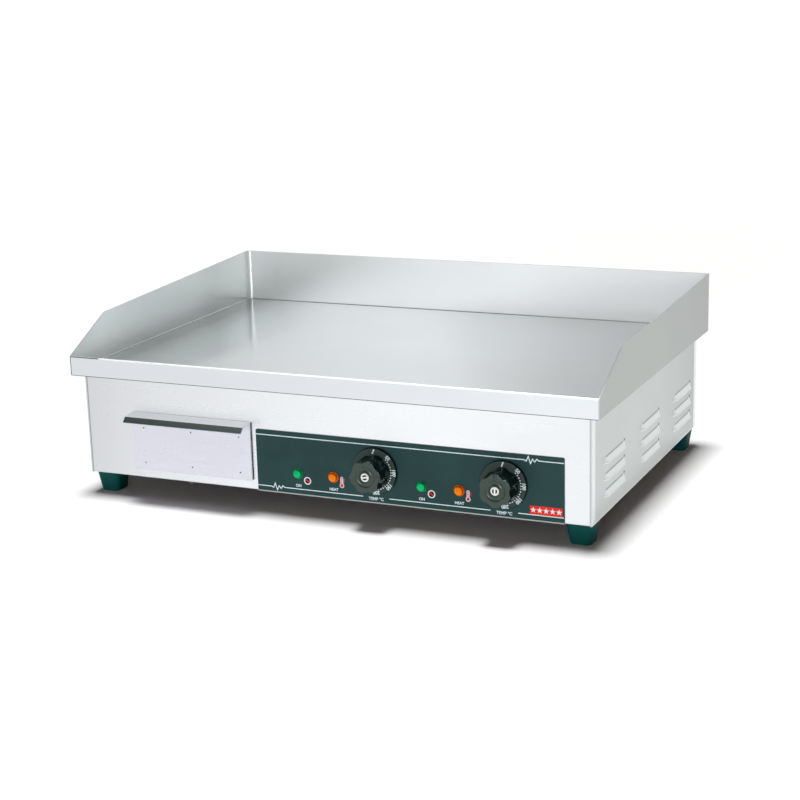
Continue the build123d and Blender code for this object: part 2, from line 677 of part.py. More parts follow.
# Dial, knob, cap, shaft, thermostat and capillary, once for each half of the plate
for side, (x, setting, bulb_lead) in controls.items():
    with BuildPart() as dial:
        with BuildSketch(front_plane(panel_face)):
            with Locations((x, dial_z)):
                Circle(DIAL_RADIUS)
        extrude(amount=DIAL_THICKNESS)
        fillet(dial.faces().sort_by(Axis.Y)[0].edges(), DIAL_EDGE)
        with BuildSketch(front_plane(panel_face)):
            with Locations((x, dial_z)):
                Circle(SHAFT_HOLE_RADIUS)
        extrude(amount=DIAL_THICKNESS, mode=Mode.SUBTRACT)
    dial.part.label = f"{side}_dial"
    export_step(dial.part, f"parts/{side}_dial.step")

    # The knob stands on a plane turned to its setting, so that its pointer lobe is up
    across = (cos(radians(setting)), 0, -sin(radians(setting)))
    turned = Plane((x, knob_back, dial_z), x_dir=across, z_dir=(0, -1, 0))
    knob_length = knob_back - knob_front
    scallop_place = KNOB_RADIUS + SCALLOP_RADIUS - SCALLOP_DEPTH
    with BuildPart() as knob:
        with BuildSketch(turned) as grip_outline:
            Circle(KNOB_RADIUS)
            with PolarLocations(scallop_place, KNOB_LOBES):
                Circle(SCALLOP_RADIUS, mode=Mode.SUBTRACT)
            fillet(grip_outline.vertices(), LOBE_ROUND)
        extrude(amount=knob_length, taper=KNOB_TAPER)
        fillet(knob.faces().sort_by(Axis.Y)[0].edges(), KNOB_EDGE)
        knob_top = turned.offset(knob_length)
        with BuildSketch(Plane(knob_top.origin, x_dir=turned.x_dir, z_dir=-turned.y_dir)):
            with BuildLine():
                SagittaArc((DISH_INNER, 0), (DISH_OUTER, 0), DISH_DEPTH)
                Line((DISH_OUTER, 0), (DISH_INNER, 0))
            make_face()
        revolve(axis=Axis((x, knob_front, dial_z), (0, 1, 0)), mode=Mode.SUBTRACT)
        with BuildSketch(knob_top):
            Circle(CAP_RADIUS + CAP_CLEARANCE)
        extrude(amount=-CAP_THICKNESS, mode=Mode.SUBTRACT)
        with BuildSketch(knob_top):
            with Locations((0, (DISH_OUTER + KNOB_RADIUS) / 2)):
                Rectangle(POINTER_WIDTH, KNOB_RADIUS - DISH_OUTER)
        extrude(amount=-POINTER_DEPTH, mode=Mode.SUBTRACT)
        with BuildSketch(turned):
            shaft_outline(SHAFT_CLEARANCE)
        extrude(amount=SHAFT_IN_KNOB, mode=Mode.SUBTRACT)
    knob.part.label = f"{side}_knob"
    export_step(knob.part, f"parts/{side}_knob.step")

    with BuildPart() as knob_cap:
        with BuildSketch(turned.offset(knob_length - CAP_THICKNESS)):
            Circle(CAP_RADIUS)
        extrude(amount=CAP_THICKNESS)
    knob_cap.part.label = f"{side}_knob_cap"
    export_step(knob_cap.part, f"parts/{side}_knob_cap.step")

    with BuildPart() as thermostat_shaft:
        with BuildSketch(turned):
            shaft_outline(0)
        extrude(amount=SHAFT_IN_KNOB)
        with BuildSketch(turned):
            Circle(SHAFT_RADIUS)
        extrude(amount=knob_back - shaft_back)
    thermostat_shaft.part.label = f"{side}_thermostat_shaft"
    export_step(thermostat_shaft.part, f"parts/{side}_thermostat_shaft.step")

    with BuildPart() as thermostat:
        with BuildSketch(front_plane(panel_back)):
            with Locations((x, dial_z)):
                Rectangle(BRACKET_WIDTH, BRACKET_HEIGHT)
        extrude(amount=-BRACKET_SHEET)
        with BuildSketch(front_plane(bracket_back)):
            with Locations((x, dial_z)):
                RectangleRounded(THERMOSTAT_SIZE, THERMOSTAT_SIZE, PANEL_CORNER)
        extrude(amount=-THERMOSTAT_DEPTH)
        with BuildSketch(front_plane(panel_back)):
            with Locations((x, dial_z)):
                Circle(SHAFT_RADIUS + SHAFT_CLEARANCE)
        extrude(amount=panel_back - shaft_back - KNOB_GAP, mode=Mode.SUBTRACT)
        with BuildSketch(front_plane(panel_back)):
            with Locations((x - BRACKET_SCREW_SPAN / 2, dial_z), (x + BRACKET_SCREW_SPAN / 2, dial_z)):
                Circle(BRACKET_SCREW_RADIUS + SCREW_CLEARANCE)
        extrude(amount=-BRACKET_SHEET, mode=Mode.SUBTRACT)
    thermostat.part.label = f"{side}_thermostat"
    export_step(thermostat.part, f"parts/{side}_thermostat.step")

    # The capillary runs back from the thermostat, up through the shield, and along to its bulb
    tube_z = dial_z + CAPILLARY_RISE
    bulb_x = x - bulb_lead
    with BuildPart() as capillary:
        with BuildLine() as route:
            FilletPolyline(
                (x, thermostat_rear, tube_z),
                (x, bulb_y, tube_z),
                (x, bulb_y, bulb_z),
                (bulb_x, bulb_y, bulb_z),
                radius=CAPILLARY_BEND,
            )
        with BuildSketch(Plane(route.line @ 0, z_dir=route.line % 0)):
            Circle(CAPILLARY_RADIUS)
        sweep()
        with BuildSketch(Plane.YZ.offset(bulb_x)):
            with Locations((bulb_y, bulb_z)):
                Circle(BULB_RADIUS)
        extrude(amount=-BULB_LENGTH)
    capillary.part.label = f"{side}_capillary"
    export_step(capillary.part, f"parts/{side}_capillary.step")

with BuildPart() as thermostat_screws:
    with BuildSketch(front_plane(bracket_back)):
        with Locations(*[(x, dial_z) for x in bracket_screw_xs]):
            Circle(BRACKET_SCREW_HEAD)
    extrude(amount=-BRACKET_SCREW_HEAD_DEPTH)
    with BuildSketch(front_plane(bracket_back)):
        with Locations(*[(x, dial_z) for x in bracket_screw_xs]):
            Circle(BRACKET_SCREW_RADIUS)
    extrude(amount=BRACKET_SHEET + SHEET)
thermostat_screws.part.label = "thermostat_screws"
export_step(thermostat_screws.part, "parts/thermostat_screws.step")

# Saddle clips that hold the bulbs against the plate, two for each
clip_radius = BULB_RADIUS + ELEMENT_GAP
clip_outer = clip_radius + CLIP_SHEET
clip_xs = [x - lead - BULB_LENGTH * share for x, setting, lead in controls.values() for share in (0.25, 0.75)]
with BuildPart() as bulb_clips:
    for clip_x in clip_xs:
        with BuildSketch(Plane.YZ.offset(clip_x - CLIP_WIDTH / 2)):
            with Locations((bulb_y, bulb_z)):
                Circle(clip_outer)
            with Locations((bulb_y, (bulb_z + body_top) / 2)):
                Rectangle(2 * clip_outer, body_top - bulb_z)
            with Locations((bulb_y, body_top - CLIP_SHEET / 2)):
                Rectangle(2 * (clip_outer + CLIP_WING), CLIP_SHEET)
            with Locations((bulb_y, bulb_z)):
                Circle(clip_radius, mode=Mode.SUBTRACT)
            with Locations((bulb_y, bulb_z + clip_outer)):
                Rectangle(2 * clip_radius, 2 * clip_outer, mode=Mode.SUBTRACT)
            with Locations((bulb_y, body_top - clip_outer)):
                Rectangle(2 * (clip_outer + CLIP_WING), 2 * clip_outer, mode=Mode.INTERSECT)
        extrude(amount=CLIP_WIDTH)
bulb_clips.part.label = "bulb_clips"
export_step(bulb_clips.part, "parts/bulb_clips.step")

# Signal lamp lenses: a stem through the panel, a flange and a dome
for side, (x, setting, bulb_lead) in controls.items():
    for lamp, lamp_offset in {"power": POWER_LAMP_OFFSET, "heat": HEAT_LAMP_OFFSET}.items():
        with BuildPart() as lens:
            with BuildSketch(front_plane(panel_back)):
                with Locations((x - lamp_offset, lamp_z)):
                    Circle(LENS_STEM_RADIUS)
            extrude(amount=panel_back - panel_face)
            with BuildSketch(front_plane(panel_face)):
                with Locations((x - lamp_offset, lamp_z)):
                    Circle(LENS_RADIUS)
            extrude(amount=LENS_FLANGE)
            with BuildSketch(front_plane(panel_face - LENS_FLANGE)):
                with Locations((x - lamp_offset, lamp_z)):
                    Circle(LENS_DOME_RADIUS)
            extrude(amount=LENS_DOME)
            fillet(lens.faces().sort_by(Axis.Y)[0].edges(), LENS_DOME_ROUND)
        lens.part.label = f"{side}_{lamp}_lens"
        export_step(lens.part, f"parts/{side}_{lamp}_lens.step")

# Lamp holders behind the front panel: a ring nut, a barrel and two blade tabs
with BuildPart() as lamp_holders:
    with BuildSketch(front_plane(panel_back)):
        with Locations(*lamp_places):
            RegularPolygon(LAMP_NUT_RADIUS, 6)
    extrude(amount=-LAMP_NUT_DEPTH)
    with BuildSketch(front_plane(panel_back)):
        with Locations(*lamp_places):
            Circle(LAMP_BODY_RADIUS)
    extrude(amount=-LAMP_BODY_DEPTH)
    with BuildSketch(front_plane(panel_back + LAMP_BODY_DEPTH)):
        with Locations(*lamp_places):
            with GridLocations(LAMP_TAB_SPAN, 0, 2, 1):
                Rectangle(LAMP_TAB_SHEET, LAMP_TAB_WIDTH)
    extrude(amount=-LAMP_TAB_LENGTH)
lamp_holders.part.label = "lamp_holders"
export_step(lamp_holders.part, "parts/lamp_holders.step")

# Heating elements: four passes of tube under each half, with both ends turned down
bend_radius = BEND_SHARE * pass_pitch
tail_bottom = shield_bottom - ELEMENT_TAIL
for side, sign in SIDES.items():
    inner = sign * ELEMENT_INNER
    outer = sign * element_outer
    turn = sign * (ELEMENT_INNER + ELEMENT_MARGIN)
    with BuildPart() as heating_element:
        with BuildLine() as route:
            FilletPolyline(
                (inner, pass_ys[0], tail_bottom),
                (inner, pass_ys[0], element_z),
                (outer, pass_ys[0], element_z),
                (outer, pass_ys[1], element_z),
                (turn, pass_ys[1], element_z),
                (turn, pass_ys[2], element_z),
                (outer, pass_ys[2], element_z),
                (outer, pass_ys[3], element_z),
                (inner, pass_ys[3], element_z),
                (inner, pass_ys[3], tail_bottom),
                radius=[ELEMENT_DROP_BEND] + [bend_radius] * 6 + [ELEMENT_DROP_BEND],
            )
        with BuildSketch(Plane((inner, pass_ys[0], tail_bottom))):
            Circle(ELEMENT_RADIUS)
        sweep()
        with BuildSketch(Plane.XY.offset(tail_bottom)):
            with Locations((inner, pass_ys[0]), (inner, pass_ys[3])):
                Circle(PIN_RADIUS)
        extrude(amount=-PIN_LENGTH)
    heating_element.part.label = f"{side}_heating_element"
    export_step(heating_element.part, f"parts/{side}_heating_element.step")

# Bars that press the elements up, with studs welded to the plate and nuts under the shield
with BuildPart() as element_clamp_bars:
    with BuildSketch(Plane.XY.offset(insulation_top)):
        with Locations(*[(x, shield_mid_y) for x in clamp_places]):
            Rectangle(CLAMP_BAR_WIDTH, last_pass - first_pass + 2 * CLAMP_END)
        with Locations(*stud_places):
            Circle(STUD_RADIUS + SCREW_CLEARANCE, mode=Mode.SUBTRACT)
    extrude(amount=CLAMP_BAR_THICKNESS)
element_clamp_bars.part.label = "element_clamp_bars"
export_step(element_clamp_bars.part, "parts/element_clamp_bars.step")

with BuildPart() as clamp_studs:
    with BuildSketch(Plane.XY.offset(body_top)):
        with Locations(*stud_places):
            Circle(STUD_RADIUS)
    extrude(amount=shield_bottom - STUD_TAIL - body_top)
clamp_studs.part.label = "clamp_studs"
export_step(clamp_studs.part, "parts/clamp_studs.step")

with BuildPart() as clamp_nuts:
    with BuildSketch(Plane.XY.offset(shield_bottom)):
        with Locations(*stud_places):
            RegularPolygon(CLAMP_NUT_RADIUS, 6)
            Circle(STUD_RADIUS + SHAFT_CLEARANCE, mode=Mode.SUBTRACT)
    extrude(amount=-CLAMP_NUT_DEPTH)
clamp_nuts.part.label = "clamp_nuts"
export_step(clamp_nuts.part, "parts/clamp_nuts.step")

capillary_places = [(x, bulb_y) for x in dial_xs]

# Ceramic fibre blanket on the floor of the shield
with BuildPart() as insulation_blanket:
    with BuildSketch(Plane.XY.offset(shield_floor)):
        blanket_inset = SHIELD_SHEET + INSULATION_CLEARANCE
        with Locations((0, shield_mid_y)):
            Rectangle(2 * (shield_half - blanket_inset), shield_depth - 2 * blanket_inset)
        with Locations(*stud_places):
            Circle(STUD_RADIUS + SCREW_CLEARANCE, mode=Mode.SUBTRACT)
        with Locations(*element_ends):
            Circle(BUSH_RADIUS + BUSH_CLEARANCE, mode=Mode.SUBTRACT)
        with Locations(*capillary_places):
            Circle(CAPILLARY_HOLE, mode=Mode.SUBTRACT)
    extrude(amount=INSULATION_THICKNESS)
insulation_blanket.part.label = "insulation_blanket"
export_step(insulation_blanket.part, "parts/insulation_blanket.step")

# Heat shield: an open box whose walls meet the plate's underside
with BuildPart() as heat_shield:
    with BuildSketch(Plane.XY.offset(shield_bottom)):
        with Locations((0, shield_mid_y)):
            Rectangle(2 * shield_half, shield_depth)
    extrude(amount=body_top - shield_bottom)
    with BuildSketch(Plane.XY.offset(shield_floor)):
        with Locations((0, shield_mid_y)):
            Rectangle(2 * (shield_half - SHIELD_SHEET), shield_depth - 2 * SHIELD_SHEET)
    extrude(amount=body_top - shield_floor, mode=Mode.SUBTRACT)
    with BuildSketch(Plane.XY.offset(shield_bottom)):
        with Locations(*stud_places):
            Circle(STUD_RADIUS + SCREW_CLEARANCE)
        with Locations(*element_ends):
            Circle(BUSH_RADIUS + BUSH_CLEARANCE)
        with Locations(*capillary_places):
            Circle(CAPILLARY_HOLE)
    extrude(amount=SHIELD_SHEET, mode=Mode.SUBTRACT)
heat_shield.part.label = "heat_shield"
export_step(heat_shield.part, "parts/heat_shield.step")

# Ceramic bushes round the elements' ends
with BuildPart() as terminal_bushings:
    with BuildSketch(Plane.XY.offset(shield_bottom)):
        with Locations(*element_ends):
            Circle(BUSH_COLLAR_RADIUS)
    extrude(amount=-BUSH_COLLAR)
    with BuildSketch(Plane.XY.offset(shield_bottom)):
        with Locations(*element_ends):
            Circle(BUSH_RADIUS)
    extrude(amount=SHIELD_SHEET + BUSH_LIP)
    with BuildSketch(Plane.XY.offset(shield_bottom - BUSH_COLLAR)):
        with Locations(*element_ends):
            Circle(ELEMENT_RADIUS + BUSH_CLEARANCE)
    extrude(amount=BUSH_COLLAR + SHIELD_SHEET + BUSH_LIP, mode=Mode.SUBTRACT)
terminal_bushings.part.label = "terminal_bushings"
export_step(terminal_bushings.part, "parts/terminal_bushings.step")

# Cable gland in the rear panel, with its nut inside
with BuildPart() as cable_gland:
    with BuildSketch(front_plane(body_rear)):
        with Locations((gland_x, gland_z)):
            RegularPolygon(GLAND_HEX_RADIUS, 6)
    extrude(amount=-GLAND_REACH)
    with BuildSketch(front_plane(body_rear)):
        with Locations((gland_x, gland_z)):
            Circle(GLAND_THREAD_RADIUS)
    extrude(amount=GLAND_TAIL)
    with BuildSketch(front_plane(body_rear + GLAND_REACH)):
        with Locations((gland_x, gland_z)):
            Circle(GLAND_BORE_RADIUS)
    extrude(amount=GLAND_REACH + GLAND_TAIL, mode=Mode.SUBTRACT)
cable_gland.part.label = "cable_gland"
export_step(cable_gland.part, "parts/cable_gland.step")

with BuildPart() as gland_nut:
    with BuildSketch(front_plane(body_rear - SHEET)):
        with Locations((gland_x, gland_z)):
            RegularPolygon(GLAND_NUT_RADIUS, 6)
            Circle(GLAND_THREAD_RADIUS + SHAFT_CLEARANCE, mode=Mode.SUBTRACT)
    extrude(amount=GLAND_NUT_DEPTH)
gland_nut.part.label = "gland_nut"
export_step(gland_nut.part, "parts/gland_nut.step")

# Earth stud beside the far corner, its flange inside the panel
with BuildPart() as earth_stud:
    with BuildSketch(front_plane(body_rear - SHEET)):
        with Locations((-gland_x, gland_z)):
            RegularPolygon(EARTH_FLANGE_RADIUS, 6)
    extrude(amount=EARTH_FLANGE)
    with BuildSketch(front_plane(body_rear - SHEET)):
        with Locations((-gland_x, gland_z)):
            Circle(EARTH_RADIUS)
    extrude(amount=-(SHEET + EARTH_REACH))
earth_stud.part.label = "earth_stud"
export_step(earth_stud.part, "parts/earth_stud.step")

# Terminal block on the base plate, near the gland
block_y = side_rear - BLOCK_REAR_GAP
with BuildPart() as terminal_block:
    with BuildSketch(Plane.XY.offset(base_top)):
        with Locations((gland_x - BLOCK_WIDTH / 2, block_y)):
            Rectangle(BLOCK_WIDTH, BLOCK_DEPTH)
    extrude(amount=BLOCK_HEIGHT)
    with BuildSketch(Plane.XY.offset(base_top + BLOCK_HEIGHT)):
        with Locations((gland_x - BLOCK_WIDTH / 2, block_y)):
            with GridLocations(BLOCK_WIDTH / BLOCK_WAYS, 0, BLOCK_WAYS, 1):
                Rectangle(BLOCK_WAY_WIDTH, BLOCK_DEPTH)
    extrude(amount=-BLOCK_WAY_DEPTH, mode=Mode.SUBTRACT)
terminal_block.part.label = "terminal_block"
export_step(terminal_block.part, "parts/terminal_block.step")
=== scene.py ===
"""Looks of a countertop electric griddle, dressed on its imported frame.

Lengths are metres in the frame's axes: X to the right, Y to the back, Z up.
"""

import json
import logging
import math
from abc import ABC, abstractmethod
from collections.abc import Callable, Iterable, Sequence
from dataclasses import dataclass, field
from enum import Enum

import bmesh
import bpy
from mathutils import Matrix, Vector

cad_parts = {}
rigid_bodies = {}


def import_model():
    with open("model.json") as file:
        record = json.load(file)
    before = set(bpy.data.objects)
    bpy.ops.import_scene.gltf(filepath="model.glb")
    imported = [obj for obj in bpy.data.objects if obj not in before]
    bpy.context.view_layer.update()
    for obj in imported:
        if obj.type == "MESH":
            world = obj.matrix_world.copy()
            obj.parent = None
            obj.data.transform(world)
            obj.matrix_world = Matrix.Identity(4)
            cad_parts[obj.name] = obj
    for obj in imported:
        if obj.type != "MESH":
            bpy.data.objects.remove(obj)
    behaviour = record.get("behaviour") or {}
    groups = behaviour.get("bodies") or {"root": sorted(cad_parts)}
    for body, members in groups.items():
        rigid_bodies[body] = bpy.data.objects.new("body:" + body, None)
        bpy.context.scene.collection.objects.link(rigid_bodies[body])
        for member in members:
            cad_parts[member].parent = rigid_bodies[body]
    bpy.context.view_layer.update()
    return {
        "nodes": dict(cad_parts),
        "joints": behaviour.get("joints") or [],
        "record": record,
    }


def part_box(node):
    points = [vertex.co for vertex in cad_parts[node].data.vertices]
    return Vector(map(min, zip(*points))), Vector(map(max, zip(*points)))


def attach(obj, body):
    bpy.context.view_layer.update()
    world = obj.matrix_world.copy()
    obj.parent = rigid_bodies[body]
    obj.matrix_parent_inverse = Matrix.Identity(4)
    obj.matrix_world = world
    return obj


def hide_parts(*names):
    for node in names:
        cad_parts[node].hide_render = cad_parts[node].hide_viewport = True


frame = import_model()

MM = 0.001
# Points nearer to each other than this become one.
MERGE = 0.001 * MM
# Thickness of a printed layer.
INK = 0.06 * MM
# Angle in degrees past which an edge stays crisp.
CRISP = 32.0
# Direction from the griddle to the one who uses it.
TO_USER = Vector((0, -1, 0))
LOG = logging.getLogger("griddle")

Colour = tuple[float, float, float]
Point = tuple[float, float]
Ring = list[Vector]


class Side(Enum):
    """Left or right of the griddle, as the user sees it."""

    LEFT = -1
    RIGHT = 1

    @property
    def word(self) -> str:
        """Name that starts this side's nodes."""
        return self.name.lower()


class Slot(Enum):
    """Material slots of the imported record."""

    CASING = "casing_steel"
    PLATE = "plate_steel"
    SHEET = "plain_sheet"
    PANEL = "panel_print"
    DIAL = "dial_black"
    KNOB = "knob_black"
    CAP = "cap_white"
    GREEN = "lens_green"
    ORANGE = "lens_orange"
    FOOT = "foot_plastic"
    FASTENER = "fastener_steel"
    ELEMENT = "element_sheath"
    BLANKET = "fibre_blanket"
    CERAMIC = "white_ceramic"
    NYLON = "black_nylon"
    COPPER = "capillary_copper"


class Grain(Enum):
    """Direction in which a sheet was brushed."""

    ALONG_X = 0
    ALONG_Y = 1

    def scale(self, along: float, across: float) -> tuple[float, float, float]:
        """Texture scale that stretches a pattern along the grain.

        Args:
            along: Repeats per metre along the grain.
            across: Repeats per metre across it.

        Returns:
            Scale for the X, Y and Z coordinates.
        """
        return tuple(along if axis == self.value else across for axis in range(3))


def srgb(red: int, green: int, blue: int) -> Colour:
    """Linear colour of three display values from 0 to 255.

    Args:
        red: Red value.
        green: Green value.
        blue: Blue value.

    Returns:
        The colour as a shader takes it.
    """
    values = [value / 255 for value in (red, green, blue)]
    return tuple(v / 12.92 if v <= 0.04045 else ((v + 0.055) / 1.055) ** 2.4 for v in values)


def shade(colour: Colour, factor: float) -> Colour:
    """Colour made darker or lighter by a factor."""
    return tuple(min(1.0, channel * factor) for channel in colour)


class NodeDesk:
    """Lays out the nodes of one tree."""

    def __init__(self, tree: bpy.types.NodeTree) -> None:
        """Take the tree to work on."""
        self.tree = tree

    def add(self, kind: str, inputs: dict | None = None, **settings: object) -> bpy.types.Node:
        """Add a node and fill its inputs.

        Args:
            kind: Blender's type name of the node.
            inputs: Sockets to link or values to set, by input name or index.
            settings: Properties of the node itself.

        Returns:
            The new node.
        """
        node = self.tree.nodes.new(kind)
        for name, value in settings.items():
            setattr(node, name, value)
        for name, value in (inputs or {}).items():
            if isinstance(value, bpy.types.NodeSocket):
                self.tree.links.new(value, node.inputs[name])
            else:
                node.inputs[name].default_value = value
        return node

    def maths(self, operation: str, first: object, second: object = 0.0) -> bpy.types.NodeSocket:
        """Result of a two-value sum or product.

        Args:
            operation: Blender's name of the operation.
            first: Socket or number.
            second: Socket or number.

        Returns:
            The result's socket.
        """
        return self.add("ShaderNodeMath", {0: first, 1: second}, operation=operation).outputs[0]

    def vector(self, operation: str, first: object, second: object) -> bpy.types.NodeSocket:
        """Result of a sum or scaling of vectors.

        Args:
            operation: Blender's name of the operation.
            first: Socket or vector.
            second: Socket or vector, or the scale where the operation is SCALE.

        Returns:
            The result's socket.
        """
        second_input = "Scale" if operation == "SCALE" else 1
        inputs = {0: first, second_input: second}
        return self.add("ShaderNodeVectorMath", inputs, operation=operation).outputs[0]


class ShaderDesk(NodeDesk):
    """Lays out one material round a principled shader."""

    def __init__(self, name: str, **constants: object) -> None:
        """Start a material.

        Args:
            name: The material's name.
            constants: Values of the shader's own sockets, with _ for a space.
        """
        self.material = bpy.data.materials.new(name)
        self.material.use_nodes = True
        super().__init__(self.material.node_tree)
        self.tree.nodes.clear()
        values = {key.replace("_", " "): value for key, value in constants.items()}
        self.shader = self.add("ShaderNodeBsdfPrincipled", values)
        self.add("ShaderNodeOutputMaterial", {"Surface": self.shader.outputs["BSDF"]})
        self.coords = self.add("ShaderNodeTexCoord").outputs["Object"]

    def noise(self, scale: Sequence[float], detail: float = 3.0) -> bpy.types.NodeSocket:
        """Noise on the object's own coordinates.

        Args:
            scale: Repeats per metre along X, Y and Z.
            detail: Octaves of finer noise.

        Returns:
            A value about 0.5.
        """
        placed = self.add("ShaderNodeMapping", {"Vector": self.coords, "Scale": scale})
        inputs = {"Vector": placed.outputs["Vector"], "Scale": 1.0, "Detail": detail}
        return self.add("ShaderNodeTexNoise", inputs).outputs["Fac"]

    def spread(self, value: bpy.types.NodeSocket, low: float, high: float) -> bpy.types.NodeSocket:
        """Stretch a noise value over a range.

        Args:
            value: Noise about 0.5.
            low: Result where the noise is low.
            high: Result where it is high.

        Returns:
            The stretched value.
        """
        inputs = {"Value": value, "From Min": 0.3, "From Max": 0.7, "To Min": low, "To Max": high}
        return self.add("ShaderNodeMapRange", inputs).outputs["Result"]

    def blend(self, factor: bpy.types.NodeSocket, first: object, second: object) -> bpy.types.NodeSocket:
        """Blend two colours.

        Args:
            factor: 0 for the first colour, 1 for the second.
            first: Colour or socket.
            second: Colour or socket.

        Returns:
            The blended colour.
        """
        pair = [c if isinstance(c, bpy.types.NodeSocket) else (*c, 1.0) for c in (first, second)]
        mix = self.add("ShaderNodeMix", {0: factor, 6: pair[0], 7: pair[1]}, data_type="RGBA")
        return mix.outputs[2]

    def tone(self, axis: int, stops: Sequence[Point], slant: float = 0.0) -> bpy.types.NodeSocket:
        """Painted light and shade that change slowly across a sheet.

        Args:
            axis: 0 for X, 1 for Y.
            stops: Pairs of a place in metres and the tone there, in order.
            slant: Shift of the place per metre along the other of the two axes.

        Returns:
            The painted light and shade as a grey colour.
        """
        start, end = stops[0][0], stops[-1][0]
        places = self.add("ShaderNodeSeparateXYZ", {0: self.coords}).outputs
        place = self.maths("ADD", places[axis], self.maths("MULTIPLY", places[1 - axis], slant))
        inputs = {"Value": place, "From Min": start, "From Max": end}
        ramp = self.add("ShaderNodeValToRGB", {0: self.add("ShaderNodeMapRange", inputs).outputs["Result"]})
        marks = ramp.color_ramp.elements
        for mark, (_, level) in zip(marks, (stops[0], stops[-1])):
            mark.color = (level, level, level, 1.0)
        for at, level in stops[1:-1]:
            marks.new((at - start) / (end - start)).color = (level, level, level, 1.0)
        return ramp.outputs["Color"]

    def feed(self, name: str, value: bpy.types.NodeSocket) -> None:
        """Link a value to one of the shader's sockets."""
        self.tree.links.new(value, self.shader.inputs[name])

    def relief(self, height: bpy.types.NodeSocket, depth: float, strength: float = 1.0) -> None:
        """Give the surface a fine relief.

        Args:
            height: Pattern from 0 to 1.
            depth: Height of the relief in metres.
            strength: Share of the relief that shows.
        """
        inputs = {"Height": height, "Distance": depth, "Strength": strength}
        self.feed("Normal", self.add("ShaderNodeBump", inputs).outputs["Normal"])


@dataclass(frozen=True)
class Finish(ABC):
    """How a surface looks."""

    name: str
    colour: Colour

    @abstractmethod
    def material(self) -> bpy.types.Material:
        """Make the material."""


@dataclass(frozen=True)
class BrushedSteel(Finish):
    """Stainless sheet with a brushed grain and faint handling marks.

    Its painted shading is pairs of a place along the grain and a factor for the colour there, shifted by the
    slant per metre across the grain, and paints reflections and shade. Its border holds such pairs, not
    shifted, as painted shade.
    """

    grain: Grain = Grain.ALONG_X
    roughness: float = 0.36
    contrast: float = 0.015
    smudge: float = 0.02
    gloss: float = 0.006
    relief: float = 0.006
    depth: float = 0.02 * MM
    streaks_along: float = 9.0
    streaks_per_metre: float = 1300.0
    bands: Point = (2.0, 60.0)
    marks_per_metre: float = 11.0
    tones: tuple[Point, ...] = ()
    slant: float = 0.0
    border: tuple[Point, ...] = ()

    def material(self) -> bpy.types.Material:
        """Make the material."""
        desk = ShaderDesk(self.name, Metallic=1.0, Specular_IOR_Level=0.5)
        fine = desk.noise(self.grain.scale(self.streaks_along, self.streaks_per_metre), 4.0)
        broad = desk.noise(self.grain.scale(*self.bands), 2.0)
        marks = desk.noise((self.marks_per_metre,) * 3, 4.0)
        dark = shade(self.colour, 1 - self.contrast)
        light = shade(self.colour, 1 + self.contrast)
        streaks = desk.maths("ADD", desk.spread(fine, 0.0, 0.75), desk.spread(broad, 0.0, 0.25))
        colour = desk.blend(streaks, dark, light)
        # Painted light and shade: the colour is scaled by the painted shading and the border.
        for stops, slant in ((self.tones, self.slant), (self.border, 0.0)):
            if stops:
                colour = desk.vector("MULTIPLY", colour, desk.tone(self.grain.value, stops, slant))
        desk.feed("Base Color", colour)
        gloss = desk.spread(fine, self.roughness - self.gloss, self.roughness + self.gloss)
        desk.feed("Roughness", desk.maths("ADD", gloss, desk.spread(marks, -self.smudge, self.smudge)))
        desk.relief(fine, self.depth, self.relief)
        return desk.material


@dataclass(frozen=True)
class Grained(Finish):
    """Surface with a fine even grain, such as moulded plastic, rubber, ceramic or plain metal."""

    second: Colour = (0.0, 0.0, 0.0)
    roughness: float = 0.4
    variation: float = 0.08
    grain_per_metre: float = 900.0
    clouds_per_metre: float = 24.0
    relief: float = 0.03 * MM
    metallic: float = 0.0
    specular: float = 0.5

    def material(self) -> bpy.types.Material:
        """Make the material."""
        desk = ShaderDesk(self.name, Metallic=self.metallic, Specular_IOR_Level=self.specular)
        grain = desk.noise((self.grain_per_metre,) * 3, 2.0)
        cloud = desk.noise((self.clouds_per_metre,) * 3, 4.0)
        desk.feed("Base Color", desk.blend(desk.spread(cloud, 0.0, 1.0), self.colour, self.second))
        gloss = desk.spread(cloud, self.roughness - self.variation, self.roughness + self.variation)
        desk.feed("Roughness", gloss)
        desk.relief(grain, self.relief, 0.5)
        return desk.material


@dataclass(frozen=True)
class Lens(Finish):
    """Clear coloured plastic of a signal lamp, lighter in its ribs."""

    deep: Colour = (0.0, 0.0, 0.0)
    ribs_per_metre: Colour = (420.0, 90.0, 420.0)
    rib_depth: float = 0.15 * MM

    def material(self) -> bpy.types.Material:
        """Make the material."""
        coat = {"Coat_Weight": 0.12, "Coat_Roughness": 0.03}
        desk = ShaderDesk(self.name, Roughness=0.18, Specular_IOR_Level=0.08, **coat)
        ribs = desk.noise(self.ribs_per_metre, 1.0)
        desk.feed("Base Color", desk.blend(desk.spread(ribs, 0.0, 1.0), self.deep, self.colour))
        desk.relief(ribs, self.rib_depth, 0.3)
        return desk.material


@dataclass(frozen=True)
class Fibre(Finish):
    """Felted mineral fibre."""

    strands_per_metre: Colour = (240.0, 1400.0, 500.0)
    depth: float = 0.8 * MM

    def material(self) -> bpy.types.Material:
        """Make the material."""
        desk = ShaderDesk(self.name, Roughness=0.95, Sheen_Weight=0.3)
        strands = desk.noise(self.strands_per_metre, 6.0)
        shown = desk.spread(strands, 0.0, 1.0)
        desk.feed("Base Color", desk.blend(shown, shade(self.colour, 0.8), self.colour))
        desk.relief(strands, self.depth)
        return desk.material
